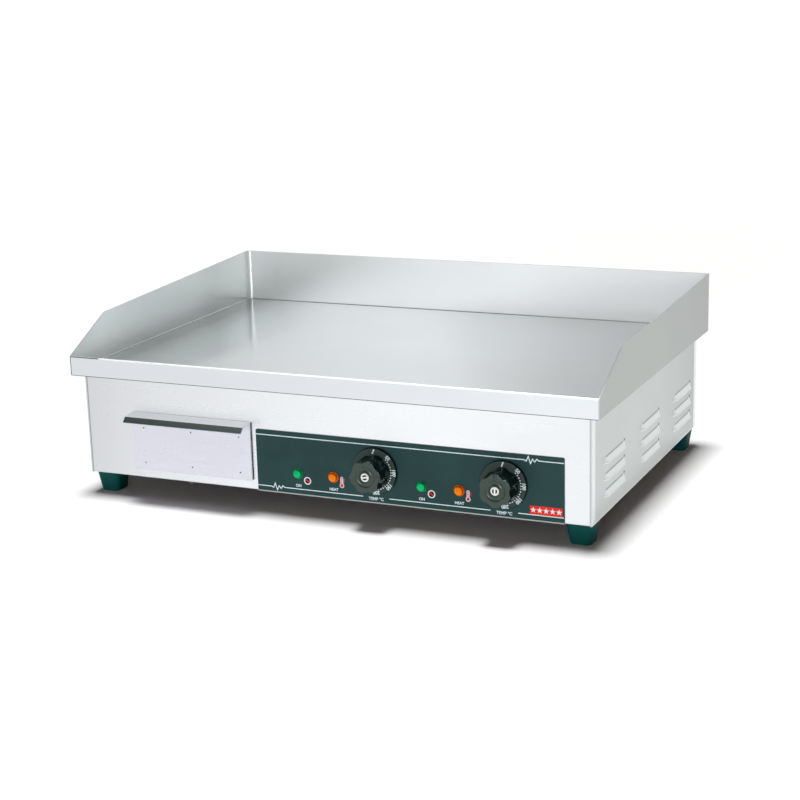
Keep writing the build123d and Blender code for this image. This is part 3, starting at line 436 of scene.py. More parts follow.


# Front and rear panel steel; its painted shading darkens it towards the left as a painted reflection.
CASING_X = BrushedSteel(
    "casing_brushed_across",
    (0.89, 0.92, 0.95),
    roughness=0.27,
    tones=((-0.352, 0.70), (-0.24, 0.80), (-0.05, 0.89), (0.15, 0.95), (0.352, 0.87)),
)
# Side steel; its painted shading darkens it towards the rear as a painted reflection.
CASING_Y = BrushedSteel(
    "casing_brushed_along",
    (0.54, 0.58, 0.57),
    grain=Grain.ALONG_Y,
    roughness=0.34,
    tones=((-0.227, 1.0), (0.06, 0.96), (0.248, 0.80)),
)
# Darker steel painted as shade in creases: louvre crests, the rear seam and the line beside each lapped edge.
PAINTED_CREASE_SHADE = BrushedSteel("shaded_crease", (0.33, 0.36, 0.355), grain=Grain.ALONG_Y, roughness=0.34)
# Lighter steel painted as light on louvre faces that lean upwards.
LOUVRE_SOFT_LIGHT = BrushedSteel("louvre_root", (0.60, 0.64, 0.63), grain=Grain.ALONG_Y, roughness=0.32)
LOUVRE_TOP_LIGHT = BrushedSteel("pressed_louvre", (0.70, 0.74, 0.73), grain=Grain.ALONG_Y, roughness=0.30)
# Fascia steel; its painted shading darkens it towards the left as a painted reflection.
FASCIA = BrushedSteel(
    "fascia_brushed_across",
    (0.765, 0.805, 0.835),
    roughness=0.25,
    tones=((-0.365, 0.88), (0.0, 0.93), (0.365, 1.0)),
)
# Near-white steel painted as a highlight on the fascia's rolled top, louvre lips and rear ends, and the
# folded edges.
PAINTED_HIGHLIGHT = BrushedSteel("bright_hem", (0.97, 0.98, 0.98), roughness=0.45, contrast=0.01, smudge=0.0)
# Guard steel; its painted shading darkens it from the front third to near the rear end as a painted
# reflection.
GUARD = BrushedSteel(
    "guard_brushed_along",
    (0.84, 0.89, 0.875),
    grain=Grain.ALONG_Y,
    roughness=0.25,
    tones=(
        (-0.24, 1.0),
        (-0.16, 1.0),
        (-0.11, 0.89),
        (-0.05, 0.81),
        (0.09, 0.76),
        (0.15, 0.70),
        (0.258, 0.88),
    ),
)
# Darker copy of the guard steel, painted as shade on the right guard's outside and darkening further towards
# the rear.
SHADED_GUARD_OUT = BrushedSteel(
    "guard_outside",
    (0.36, 0.395, 0.38),
    grain=Grain.ALONG_Y,
    roughness=0.25,
    tones=((-0.24, 1.0), (0.0, 0.97), (0.258, 0.78)),
)
# Rear guard steel; its painted shading darkens it towards the right as a painted reflection.
REAR_GUARD = BrushedSteel(
    "guard_brushed_across",
    (0.96, 0.97, 0.975),
    roughness=0.28,
    contrast=0.01,
    smudge=0.005,
    gloss=0.0005,
    relief=0.0005,
    tones=((-0.364, 1.0), (0.08, 0.985), (0.364, 0.76)),
)
CORNER = BrushedSteel("rounded_corner", (0.68, 0.70, 0.695), roughness=0.42, contrast=0.01, smudge=0.0)
# Dark steel painted as the dark reflection on the drawer handle's lip.
PAINTED_LIP_SHADE = BrushedSteel("handle_steel", (0.30, 0.375, 0.345), roughness=0.10, contrast=0.02, smudge=0.01)
MILL = Grained("mill_sheet", (0.12, 0.10, 0.10), (0.16, 0.14, 0.13), roughness=0.55, metallic=1.0)
# Plate steel; its painted shading and border paint reflection and shade: lightest left of the middle, darker
# to the left and much darker to the right and rear, with a dark band along the left edge.
PLATE = BrushedSteel(
    "plate_ground",
    (0.71, 0.755, 0.775),
    roughness=0.17,
    contrast=0.03,
    streaks_per_metre=700.0,
    tones=(
        (-0.5, 0.64),
        (-0.35, 0.69),
        (-0.25, 0.73),
        (-0.17, 0.79),
        (-0.08, 0.87),
        (0.02, 0.90),
        (0.075, 0.86),
        (0.13, 0.70),
        (0.18, 0.59),
        (0.23, 0.50),
        (0.28, 0.44),
        (0.35, 0.38),
        (0.5, 0.31),
    ),
    slant=0.5,
    border=((-0.364, 0.22), (-0.338, 0.28), (-0.318, 0.56), (-0.29, 0.84), (-0.25, 1.0), (0.364, 1.0)),
)
# Near-black dots painted as the shadow in each louvre's open rear corner.
PAINTED_OPENING_SHADOW = Grained("pierced_hole", srgb(6, 8, 8), srgb(12, 14, 14), roughness=0.8, specular=0.1)
FILM = BrushedSteel("drawer_film", (0.665, 0.675, 0.745), roughness=0.30, contrast=0.04, smudge=0.09)
# Dark steel painted as shade on guard edges, under the fascia, on its lapped end and in the gap beside the
# drawer front.
PAINTED_EDGE_SHADE = Grained("sheared_edge", (0.09, 0.105, 0.10), (0.14, 0.155, 0.15), roughness=0.55, metallic=1.0)
SCORCH = Grained("weld_scorch", (0.10, 0.10, 0.11), (0.18, 0.17, 0.17), roughness=0.5, metallic=1.0)
SHEET = BrushedSteel("plain_sheet", (0.62, 0.63, 0.62), roughness=0.42, contrast=0.04)
WELD = Grained("dressed_weld", (0.56, 0.605, 0.60), (0.64, 0.685, 0.68), roughness=0.33, metallic=1.0)
PANEL = Grained(
    "panel_film", srgb(35, 66, 66), srgb(40, 73, 73), roughness=0.42, grain_per_metre=2200.0, specular=0.15
)
PRINT = Grained("pale_ink", srgb(228, 248, 254), srgb(236, 252, 255), roughness=0.55, specular=0.2)
RED_INK = Grained("red_ink", srgb(238, 40, 32), srgb(246, 52, 42), roughness=0.5, specular=0.15)
PINK_INK = Grained("pink_ink", srgb(240, 132, 146), srgb(248, 150, 162), roughness=0.5, specular=0.2)
DARK_INK = Grained("dark_ink", srgb(10, 14, 16), srgb(16, 22, 24), roughness=0.5, specular=0.15)
DIAL = Grained("dial_plastic", srgb(34, 54, 48), srgb(42, 62, 56), roughness=0.46, specular=0.3)
GRIP = Grained("grip_plastic", srgb(3, 18, 16), srgb(6, 24, 22), roughness=0.10, variation=0.03, specular=0.2)
GRIP_FACE = Grained("grip_face", srgb(42, 62, 52), srgb(50, 70, 60), roughness=0.24, specular=0.5)
CAP = Grained("cap_plastic", srgb(248, 250, 250), srgb(252, 254, 254), roughness=0.35)
# A rim finish is a deeper copy of a lens colour, painted as shade on the dome's sides.
GREEN = Lens("green_lens", srgb(4, 210, 130), deep=srgb(0, 184, 108))
GREEN_SHADED_RIM = Lens("green_lens_rim", srgb(0, 140, 74), deep=srgb(0, 112, 60))
ORANGE = Lens("orange_lens", srgb(255, 158, 0), deep=srgb(255, 118, 0))
ORANGE_SHADED_RIM = Lens("orange_lens_rim", srgb(250, 86, 0), deep=srgb(238, 52, 0))
RUBBER = Grained("foot_rubber", srgb(12, 72, 70), srgb(16, 80, 78), roughness=0.5, specular=0.06)
ZINC = Grained("zinc_plate", (0.60, 0.60, 0.58), (0.70, 0.69, 0.66), roughness=0.38, metallic=1.0)
SHEATH = Grained("element_sheath", (0.24, 0.23, 0.20), (0.34, 0.31, 0.27), roughness=0.5, metallic=1.0)
BLANKET = Fibre("fibre_blanket", (0.82, 0.81, 0.77))
CERAMIC = Grained("steatite", (0.74, 0.70, 0.62), (0.82, 0.79, 0.72), roughness=0.3)
NYLON = Grained("black_nylon", srgb(22, 23, 24), srgb(32, 33, 34), roughness=0.5)
COPPER = Grained("capillary_copper", (0.72, 0.38, 0.24), (0.80, 0.46, 0.30), roughness=0.34, metallic=1.0)

SLOT_FINISH: dict[Slot, Finish] = {
    Slot.CASING: CASING_X,
    Slot.PLATE: PLATE,
    Slot.SHEET: SHEET,
    Slot.PANEL: PANEL,
    Slot.DIAL: DIAL,
    Slot.KNOB: GRIP,
    Slot.CAP: CAP,
    Slot.GREEN: GREEN,
    Slot.ORANGE: ORANGE,
    Slot.FOOT: RUBBER,
    Slot.FASTENER: ZINC,
    Slot.ELEMENT: SHEATH,
    Slot.BLANKET: BLANKET,
    Slot.CERAMIC: CERAMIC,
    Slot.NYLON: NYLON,
    Slot.COPPER: COPPER,
}
NODE_FINISH: dict[str, Finish] = {"base_screws": MILL}
Accent = tuple[Finish, Callable[[bpy.types.MeshPolygon], bool]]


class Palette:
    """Materials, each made once."""

    def __init__(self) -> None:
        """Start with none made."""
        self._made: dict[str, bpy.types.Material] = {}

    def of(self, finish: Finish) -> bpy.types.Material:
        """Material of a finish."""
        if finish.name not in self._made:
            self._made[finish.name] = finish.material()
        return self._made[finish.name]


PALETTE = Palette()


@dataclass(frozen=True)
class Span:
    """A node's box at rest."""

    lo: Vector
    hi: Vector

    @classmethod
    def of(cls, node: str) -> "Span":
        """Box of a CAD node."""
        return cls(*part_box(node))

    @property
    def mid(self) -> Vector:
        """Middle of the box."""
        return (self.lo + self.hi) / 2

    @property
    def size(self) -> Vector:
        """Lengths of the box's sides."""
        return self.hi - self.lo


class Shape:
    """Faces gathered for one piece."""

    mitre_limit = 0.3
    boldness = 0.028

    def __init__(self) -> None:
        """Start with no faces."""
        self.bm = bmesh.new()

    def skin(self, rings: Sequence[Ring], around: bool = True, caps: bool = True) -> "Shape":
        """Join rings of points with faces.

        Args:
            rings: Rings with equal numbers of points.
            around: Whether each ring closes on itself.
            caps: Whether the first and last ring are filled.

        Returns:
            The shape itself.
        """
        rows = [[self.bm.verts.new(point) for point in ring] for ring in rings]
        count = len(rows[0])
        for row, following in zip(rows, rows[1:]):
            for i in range(count if around else count - 1):
                j = (i + 1) % count
                self.bm.faces.new((row[i], row[j], following[j], following[i]))
        if caps:
            self.bm.faces.new(rows[0])
            self.bm.faces.new(list(reversed(rows[-1])))
        return self

    def lathe(
        self, profile: Sequence[Point], centre: Vector, steps: int = 96, axis: Vector = TO_USER
    ) -> "Shape":
        """Revolve a profile about a level axis.

        Args:
            profile: Pairs of radius and reach along the axis.
            centre: Point on the axis where the reach is zero.
            steps: Points in each ring.
            axis: Direction of the axis.

        Returns:
            The shape itself.
        """
        up = Vector((0, 0, 1))
        across = up.cross(axis)
        angles = [math.tau * i / steps for i in range(steps)]
        spokes = [across * math.sin(angle) + up * math.cos(angle) for angle in angles]
        return self.skin([
            [centre + reach * axis + radius * spoke for spoke in spokes] for radius, reach in profile
        ])

    def slab(self, outline: Sequence[Point], y: float, thickness: float) -> "Shape":
        """Extrude an outline in the XZ plane towards the user.

        Args:
            outline: Corners as pairs of X and Z.
            y: Depth of the slab's back.
            thickness: Reach towards the user.

        Returns:
            The shape itself.
        """
        return self.skin([[Vector((x, depth, z)) for x, z in outline] for depth in (y, y - thickness)])

    def ribbon(self, points: Sequence[Point], width: float, y: float, closed: bool = False) -> "Shape":
        """Printed line along points in the XZ plane, with mitred corners.

        Args:
            points: Pairs of X and Z.
            width: Width of the line.
            y: Depth of the surface that carries it.
            closed: Whether the line comes back to its start.

        Returns:
            The shape itself.
        """
        path = [Vector(point) for point in points]
        count = len(path)
        left: list[Vector] = []
        right: list[Vector] = []
        for i, here in enumerate(path):
            before = path[i - 1] if closed or i else None
            after = path[(i + 1) % count] if closed or i < count - 1 else None
            runs = [run.normalized() for run in (before and here - before, after and after - here) if run]
            normals = [Vector((-run.y, run.x)) for run in runs]
            mitre = sum(normals, Vector((0, 0))).normalized()
            reach = width / 2 / max(self.mitre_limit, mitre.dot(normals[0]))
            left.append(here + mitre * reach)
            right.append(here - mitre * reach)
        rings = [
            [Vector((p.x, depth, p.y)) for p, depth in ((a, y), (b, y), (b, y - INK), (a, y - INK))]
            for a, b in zip(left, right)
        ]
        return self.skin(rings + rings[:1] if closed else rings, caps=not closed)

    def lettering(self, text: str, size: float, place: Vector, turn: float = 0.0) -> "Shape":
        """Printed word or number that faces the user.

        Args:
            text: What it says.
            size: Height of the type.
            place: Middle of the word, on the surface that carries it.
            turn: Clockwise turn in radians.

        Returns:
            The shape itself.
        """
        curve = bpy.data.curves.new("lettering", "FONT")
        curve.body = text
        curve.size = size
        curve.align_x = "CENTER"
        curve.align_y = "CENTER"
        curve.offset = self.boldness * size
        curve.extrude = INK / 2
        mesh = plain_mesh(bpy.data.objects.new("lettering", curve))
        lift = Vector((0, -INK / 2, 0))
        facing = Matrix.Rotation(math.pi / 2, 4, "X") @ Matrix.Rotation(-turn, 4, "Z")
        mesh.transform(Matrix.Translation(place + lift) @ facing)
        self.bm.from_mesh(mesh)
        return self

    def mesh(self, name: str, sharp: float = CRISP) -> bpy.types.Mesh:
        """Finish the faces as a mesh.

        Args:
            name: The mesh's name.
            sharp: Angle in degrees past which an edge stays crisp.

        Returns:
            The mesh, with its faces pointing outwards.
        """
        bmesh.ops.remove_doubles(self.bm, verts=self.bm.verts, dist=MERGE)
        bmesh.ops.recalc_face_normals(self.bm, faces=self.bm.faces)
        mesh = bpy.data.meshes.new(name)
        self.bm.to_mesh(mesh)
        self.bm.free()
        mesh.shade_smooth()
        mesh.set_sharp_from_angle(angle=math.radians(sharp))
        return mesh


def arc(centre: Point, radius: float, start: float, end: float, steps: int) -> list[Point]:
    """Points on an arc, with angles in degrees from the first axis.

    Args:
        centre: Middle of the arc.
        radius: Its radius.
        start: Angle of the first point.
        end: Angle of the last point.
        steps: Stretches between the points.

    Returns:
        The points, in order.
    """
    angles = [math.radians(start + (end - start) * i / steps) for i in range(steps + 1)]
    return [(centre[0] + radius * math.cos(a), centre[1] + radius * math.sin(a)) for a in angles]


def rectangle(start: float, end: float, low: float, high: float) -> list[Point]:
    """Corners of an upright rectangle between two places along X and two heights."""
    return [(start, low), (end, low), (end, high), (start, high)]


def leans(face: bpy.types.MeshPolygon, least: float) -> bool:
    """Whether a face looks upwards by more than a given share without being level."""
    return least < face.normal.z < 0.95


def plain_mesh(*objects: bpy.types.Object) -> bpy.types.Mesh:
    """Plain mesh of the first object as its modifiers leave it.

    Args:
        objects: The object, then any that its modifiers read. All are removed.

    Returns:
        The mesh.
    """
    for obj in objects:
        bpy.context.scene.collection.objects.link(obj)
    bpy.context.view_layer.update()
    depsgraph = bpy.context.evaluated_depsgraph_get()
    evaluated = objects[0].evaluated_get(depsgraph)
    mesh = bpy.data.meshes.new_from_object(evaluated, preserve_all_data_layers=True, depsgraph=depsgraph)
    for obj in objects:
        bpy.data.objects.remove(obj)
    return mesh


class StampTree(NodeDesk, ABC):
    """Geometry nodes that repeat one stamp by a rule and join it to a base."""

    title = ""
    sizes: dict[str, str] = {}

    def __init__(self) -> None:
        """Build the tree."""
        super().__init__(bpy.data.node_groups.new(self.title, "GeometryNodeTree"))
        self.tree.is_modifier = True
        face = self.tree.interface
        self.ids: dict[str, str] = {}
        kinds = {"Base": "Geometry", "Stamp": "Object", "Finish": "Material", "Count": "Int", **self.sizes}
        for name, kind in kinds.items():
            socket = face.new_socket(name, in_out="INPUT", socket_type=f"NodeSocket{kind}")
            self.ids[name] = socket.identifier
        face.new_socket("Result", in_out="OUTPUT", socket_type="NodeSocketGeometry")
        self.given = self.add("NodeGroupInput").outputs
        index = self.add("GeometryNodeInputIndex").outputs[0]
        points = self.add("GeometryNodePoints", {"Count": self.given["Count"], "Position": self.place(index)})
        stamp = self.add("GeometryNodeObjectInfo", {"Object": self.given["Stamp"]})
        inputs = {"Points": points.outputs[0], "Instance": stamp.outputs["Geometry"]}
        set_out = self.add("GeometryNodeInstanceOnPoints", inputs)
        joined = self.add("GeometryNodeJoinGeometry")
        for part in (set_out.outputs[0], self.given["Base"]):
            self.tree.links.new(part, joined.inputs[0])
        real = self.add("GeometryNodeRealizeInstances", {0: joined.outputs[0]})
        finished = self.add("GeometryNodeSetMaterial", {0: real.outputs[0], "Material": self.given["Finish"]})
        self.add("NodeGroupOutput", {0: finished.outputs[0]})

    @abstractmethod
    def place(self, index: bpy.types.NodeSocket) -> bpy.types.NodeSocket:
        """Place of the stamp with a given number."""

    def grow(
        self,
        stamp: bpy.types.Mesh,
        finish: Finish,
        base: bpy.types.Mesh | None = None,
        wall: float = 0.0,
        **values: object,
    ) -> bpy.types.Mesh:
        """Run the tree once.

        Args:
            stamp: Mesh to repeat, made about the origin.
            finish: Finish of the result.
            base: Mesh that the stamps join, if any.
            wall: Thickness given to the base first, inwards.
            values: The tree's own sizes.

        Returns:
            The result as a plain mesh.
        """
        holder = bpy.data.objects.new("holder", base or bpy.data.meshes.new("no_base"))
        source = bpy.data.objects.new("stamp", stamp)
        if wall:
            solid = holder.modifiers.new("wall", "SOLIDIFY")
            solid.thickness = wall
            solid.offset = -1.0
        repeat = holder.modifiers.new("repeat", "NODES")
        repeat.node_group = self.tree
        repeat[self.ids["Stamp"]] = source
        repeat[self.ids["Finish"]] = PALETTE.of(finish)
        for name, value in values.items():
            repeat[self.ids[name]] = tuple(value) if isinstance(value, Vector) else value
        mesh = plain_mesh(holder, source)
        mesh.set_sharp_from_angle(angle=math.radians(CRISP))
        return mesh


class GridTree(StampTree):
    """Repeats a stamp in columns and rows."""

    title = "stamp_grid"
    sizes = {"Columns": "Int", "First": "Vector", "ColumnStep": "Vector", "RowStep": "Vector"}

    def place(self, index: bpy.types.NodeSocket) -> bpy.types.NodeSocket:
        """Place of the stamp with a given number."""
        column = self.maths("MODULO", index, self.given["Columns"])
        row = self.maths("FLOOR", self.maths("DIVIDE", index, self.given["Columns"]))
        across = self.vector("SCALE", self.given["ColumnStep"], column)
        up = self.vector("SCALE", self.given["RowStep"], row)
        return self.vector("ADD", self.given["First"], self.vector("ADD", across, up))


class ArcTree(StampTree):
    """Repeats a stamp on an arc that faces the user, clockwise from the top."""

    title = "stamp_arc"
    sizes = {"Centre": "Vector", "Radius": "Float", "Start": "Float", "Step": "Float"}

    def place(self, index: bpy.types.NodeSocket) -> bpy.types.NodeSocket:
        """Place of the stamp with a given number."""
        angle = self.maths("ADD", self.given["Start"], self.maths("MULTIPLY", index, self.given["Step"]))
        inputs = {"X": self.maths("SINE", angle), "Z": self.maths("COSINE", angle)}
        spoke = self.add("ShaderNodeCombineXYZ", inputs).outputs[0]
        reach = self.vector("SCALE", spoke, self.given["Radius"])
        return self.vector("ADD", self.given["Centre"], reach)


GRID = GridTree()
ARC = ArcTree()


@dataclass
class SubAssembly(ABC):
    """Pieces that are built and dressed together.

    A piece in accents has other finishes on the faces that pass a test.
    """

    pieces: dict[bpy.types.Object, Finish] = field(default_factory=dict, init=False)
    accents: dict[bpy.types.Object, list[Accent]] = field(default_factory=dict, init=False)

    @abstractmethod
    def build(self) -> None:
        """Make the pieces."""

    def add(
        self,
        name: str,
        made: bpy.types.Mesh | Shape,
        slot: Slot,
        finish: Finish | None = None,
        replaces: Iterable[str] = (),
        body: str = "housing",
    ) -> bpy.types.Object:
        """Put a mesh in the scene as a piece.

        Args:
            name: The piece's name.
            made: Its mesh or its gathered faces, in place.
            slot: The record's slot that it takes its finish from.
            finish: Its finish, where it differs from the slot's own.
            replaces: CAD nodes that it stands for.
            body: Body that it rides on.

        Returns:
            The new object.
        """
        obj = bpy.data.objects.new(name, made.mesh(name) if isinstance(made, Shape) else made)
        bpy.context.scene.collection.objects.link(obj)
        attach(obj, body)
        if replaces:
            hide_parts(*replaces)
        self.pieces[obj] = finish or SLOT_FINISH[slot]
        return obj

    def edged_copy(
        self,
        node: str,
        slot: Slot,
        finish: Finish | None = None,
        edge: float = 0.3 * MM,
        body: str = "housing",
    ) -> bpy.types.Object:
        """Copy a CAD node and break its sharp edges.

        Args:
            node: The node.
            slot: The record's slot that it takes its finish from.
            finish: Its finish, where it differs from the slot's own.
            edge: Width of the broken edge.
            body: Body that it rides on.

        Returns:
            The new object, which replaces the node.
        """
        shape = Shape()
        shape.bm.from_mesh(frame["nodes"][node].data)
        bmesh.ops.remove_doubles(shape.bm, verts=shape.bm.verts, dist=MERGE)
        level = math.radians(0.2)
        bmesh.ops.dissolve_limit(shape.bm, angle_limit=level, verts=shape.bm.verts, edges=shape.bm.edges)
        mesh = bpy.data.meshes.new(f"{node}_edged")
        shape.bm.to_mesh(mesh)
        shape.bm.free()
        mesh.shade_smooth()
        mesh.set_sharp_from_angle(angle=math.radians(CRISP))
        obj = self.add(f"{node}_edged", mesh, slot, finish, (node,), body)
        broken = obj.modifiers.new("edge", "BEVEL")
        broken.width = edge
        broken.segments = 2
        broken.limit_method = "ANGLE"
        broken.angle_limit = math.radians(CRISP)
        even = obj.modifiers.new("even", "WEIGHTED_NORMAL")
        even.mode = "FACE_AREA"
        even.weight = 100
        return obj

    def dress(self) -> None:
        """Give each piece its material and report it."""
        for obj, finish in self.pieces.items():
            obj.data.materials.clear()
            obj.data.materials.append(PALETTE.of(finish))
            for count, (accent, takes) in enumerate(self.accents.get(obj, []), 1):
                obj.data.materials.append(PALETTE.of(accent))
                for face in obj.data.polygons:
                    if takes(face):
                        face.material_index = count
            LOG.info("%s: %s, %d faces", obj.name, finish.name, len(obj.data.polygons))


@dataclass
class Pan(SubAssembly):
    """Cooking plate inside its guards."""

    seam: float = 0.8 * MM
    corner: float = 5.0 * MM
    bead: float = 0.4 * MM
    lapped_end: float = 43.0 * MM
    seam_steps: int = 5

    def build(self) -> None:
        """Make the plate, the guards, the fascia and the welded seams between them."""
        self.edged_copy("griddle_plate", Slot.PLATE, edge=0.5 * MM)
        fascia = self.edged_copy("front_fascia", Slot.CASING, FASCIA)
        # The fascia's upward faces take a painted highlight.
        self.accents[fascia] = [(PAINTED_HIGHLIGHT, lambda face: face.normal.z > 0.2)]
        rear = self.edged_copy("rear_splash_guard", Slot.CASING, REAR_GUARD, edge=0.2 * MM)
        # The rear guard's edges are painted dark as shade.
        self.accents[rear] = [(PAINTED_EDGE_SHADE, lambda face: abs(face.normal.y) < 0.5)]
        # The left guard's edges are painted dark as shade and the right's light; the right guard's outside is
        # painted darker as shade.
        for side, edge, outside in ((Side.LEFT, PAINTED_EDGE_SHADE, CASING_Y), (Side.RIGHT, CASING_Y, SHADED_GUARD_OUT)):
            guard = self.edged_copy(f"{side.word}_splash_guard", Slot.CASING, GUARD, edge=0.2 * MM)
            self.accents[guard] = [
                (edge, lambda face: abs(face.normal.x) < 0.5),
                (outside, lambda face, out=side.value: face.normal.x * out > 0.5),
            ]
        self.build_seams()
        self.build_fascia_edges(Span.of("front_fascia"))

    def build_fascia_edges(self, fascia: Span) -> None:
        """Dark beads painted as shade along the fascia, below it and where the left guard laps over its top.

        Args:
            fascia: The fascia's box.
        """
        left, right = fascia.lo.x + self.bead, fascia.hi.x - self.bead
        lap = 2 * self.bead
        shape = Shape()
        for middle, bead, end in (
            (fascia.lo.z + self.bead, self.bead, right),
            (fascia.hi.z - 0.7 * lap, lap, left + self.lapped_end),
        ):
            section = arc((0.0, middle), bead, -90, 90, 6)
            shape.skin([[Vector((x, fascia.lo.y - 0.5 * out, z)) for out, z in section] for x in (left, end)])
        self.add("fascia_sheared_edges", shape, Slot.CASING, PAINTED_EDGE_SHADE)

    def build_seams(self) -> None:
        """Fillet of dressed weld round the plate, its rear length painted darker as shade, and rounded rear
        corners with a fine bead beside each.
        """
        plate = Span.of("griddle_plate")
        guard = Span.of("rear_splash_guard")
        left, right, front, rear, top = plate.lo.x, plate.hi.x, plate.lo.y, plate.hi.y, plate.hi.z
        heights = (top, guard.hi.z - self.seam)
        bead = arc((0.0, -self.corner), self.bead, -90, 90, 6)
        welds, back, corners, lines = Shape(), Shape(), Shape(), Shape()
        for x, inwards in ((left, 1), (right, -1)):
            welds.skin([self.fillet(Vector((x, y, top)), Vector((inwards, 0, 0))) for y in (front, rear)])
            corners.skin([
                [Vector((x + inwards * a, rear - b, z)) for a, b in self.hollow(self.corner)] for z in heights
            ])
            lines.skin([[Vector((x + inwards * a, rear + b, z)) for a, b in bead] for z in heights])
        for seam, y, inwards in ((welds, front, 1), (back, rear, -1)):
            seam.skin([self.fillet(Vector((x, y, top)), Vector((0, inwards, 0))) for x in (left, right)])
        self.add("pan_weld_seams", welds, Slot.CASING, WELD)
        # The rear fillet takes darker steel as painted shade in the corner.
        self.add("pan_rear_seam", back, Slot.CASING, PAINTED_CREASE_SHADE)
        self.add("pan_corner_seams", corners, Slot.CASING, CORNER)
        self.add("pan_corner_lines", lines, Slot.CASING, WELD)

    def hollow(self, r: float) -> list[Point]:
        """Section of a fillet of radius r in a right-angled corner."""
        return [(0.0, 0.0), *arc((r, r), r, 270, 180, self.seam_steps)]

    def fillet(self, corner: Vector, inwards: Vector) -> Ring:
        """Section of the seam between the plate and a wall.

        Args:
            corner: Point where the plate meets the wall.
            inwards: Direction from the wall over the plate.

        Returns:
            The section's points.
        """
        return [corner + inwards * a + Vector((0, 0, b)) for a, b in self.hollow(self.seam)]


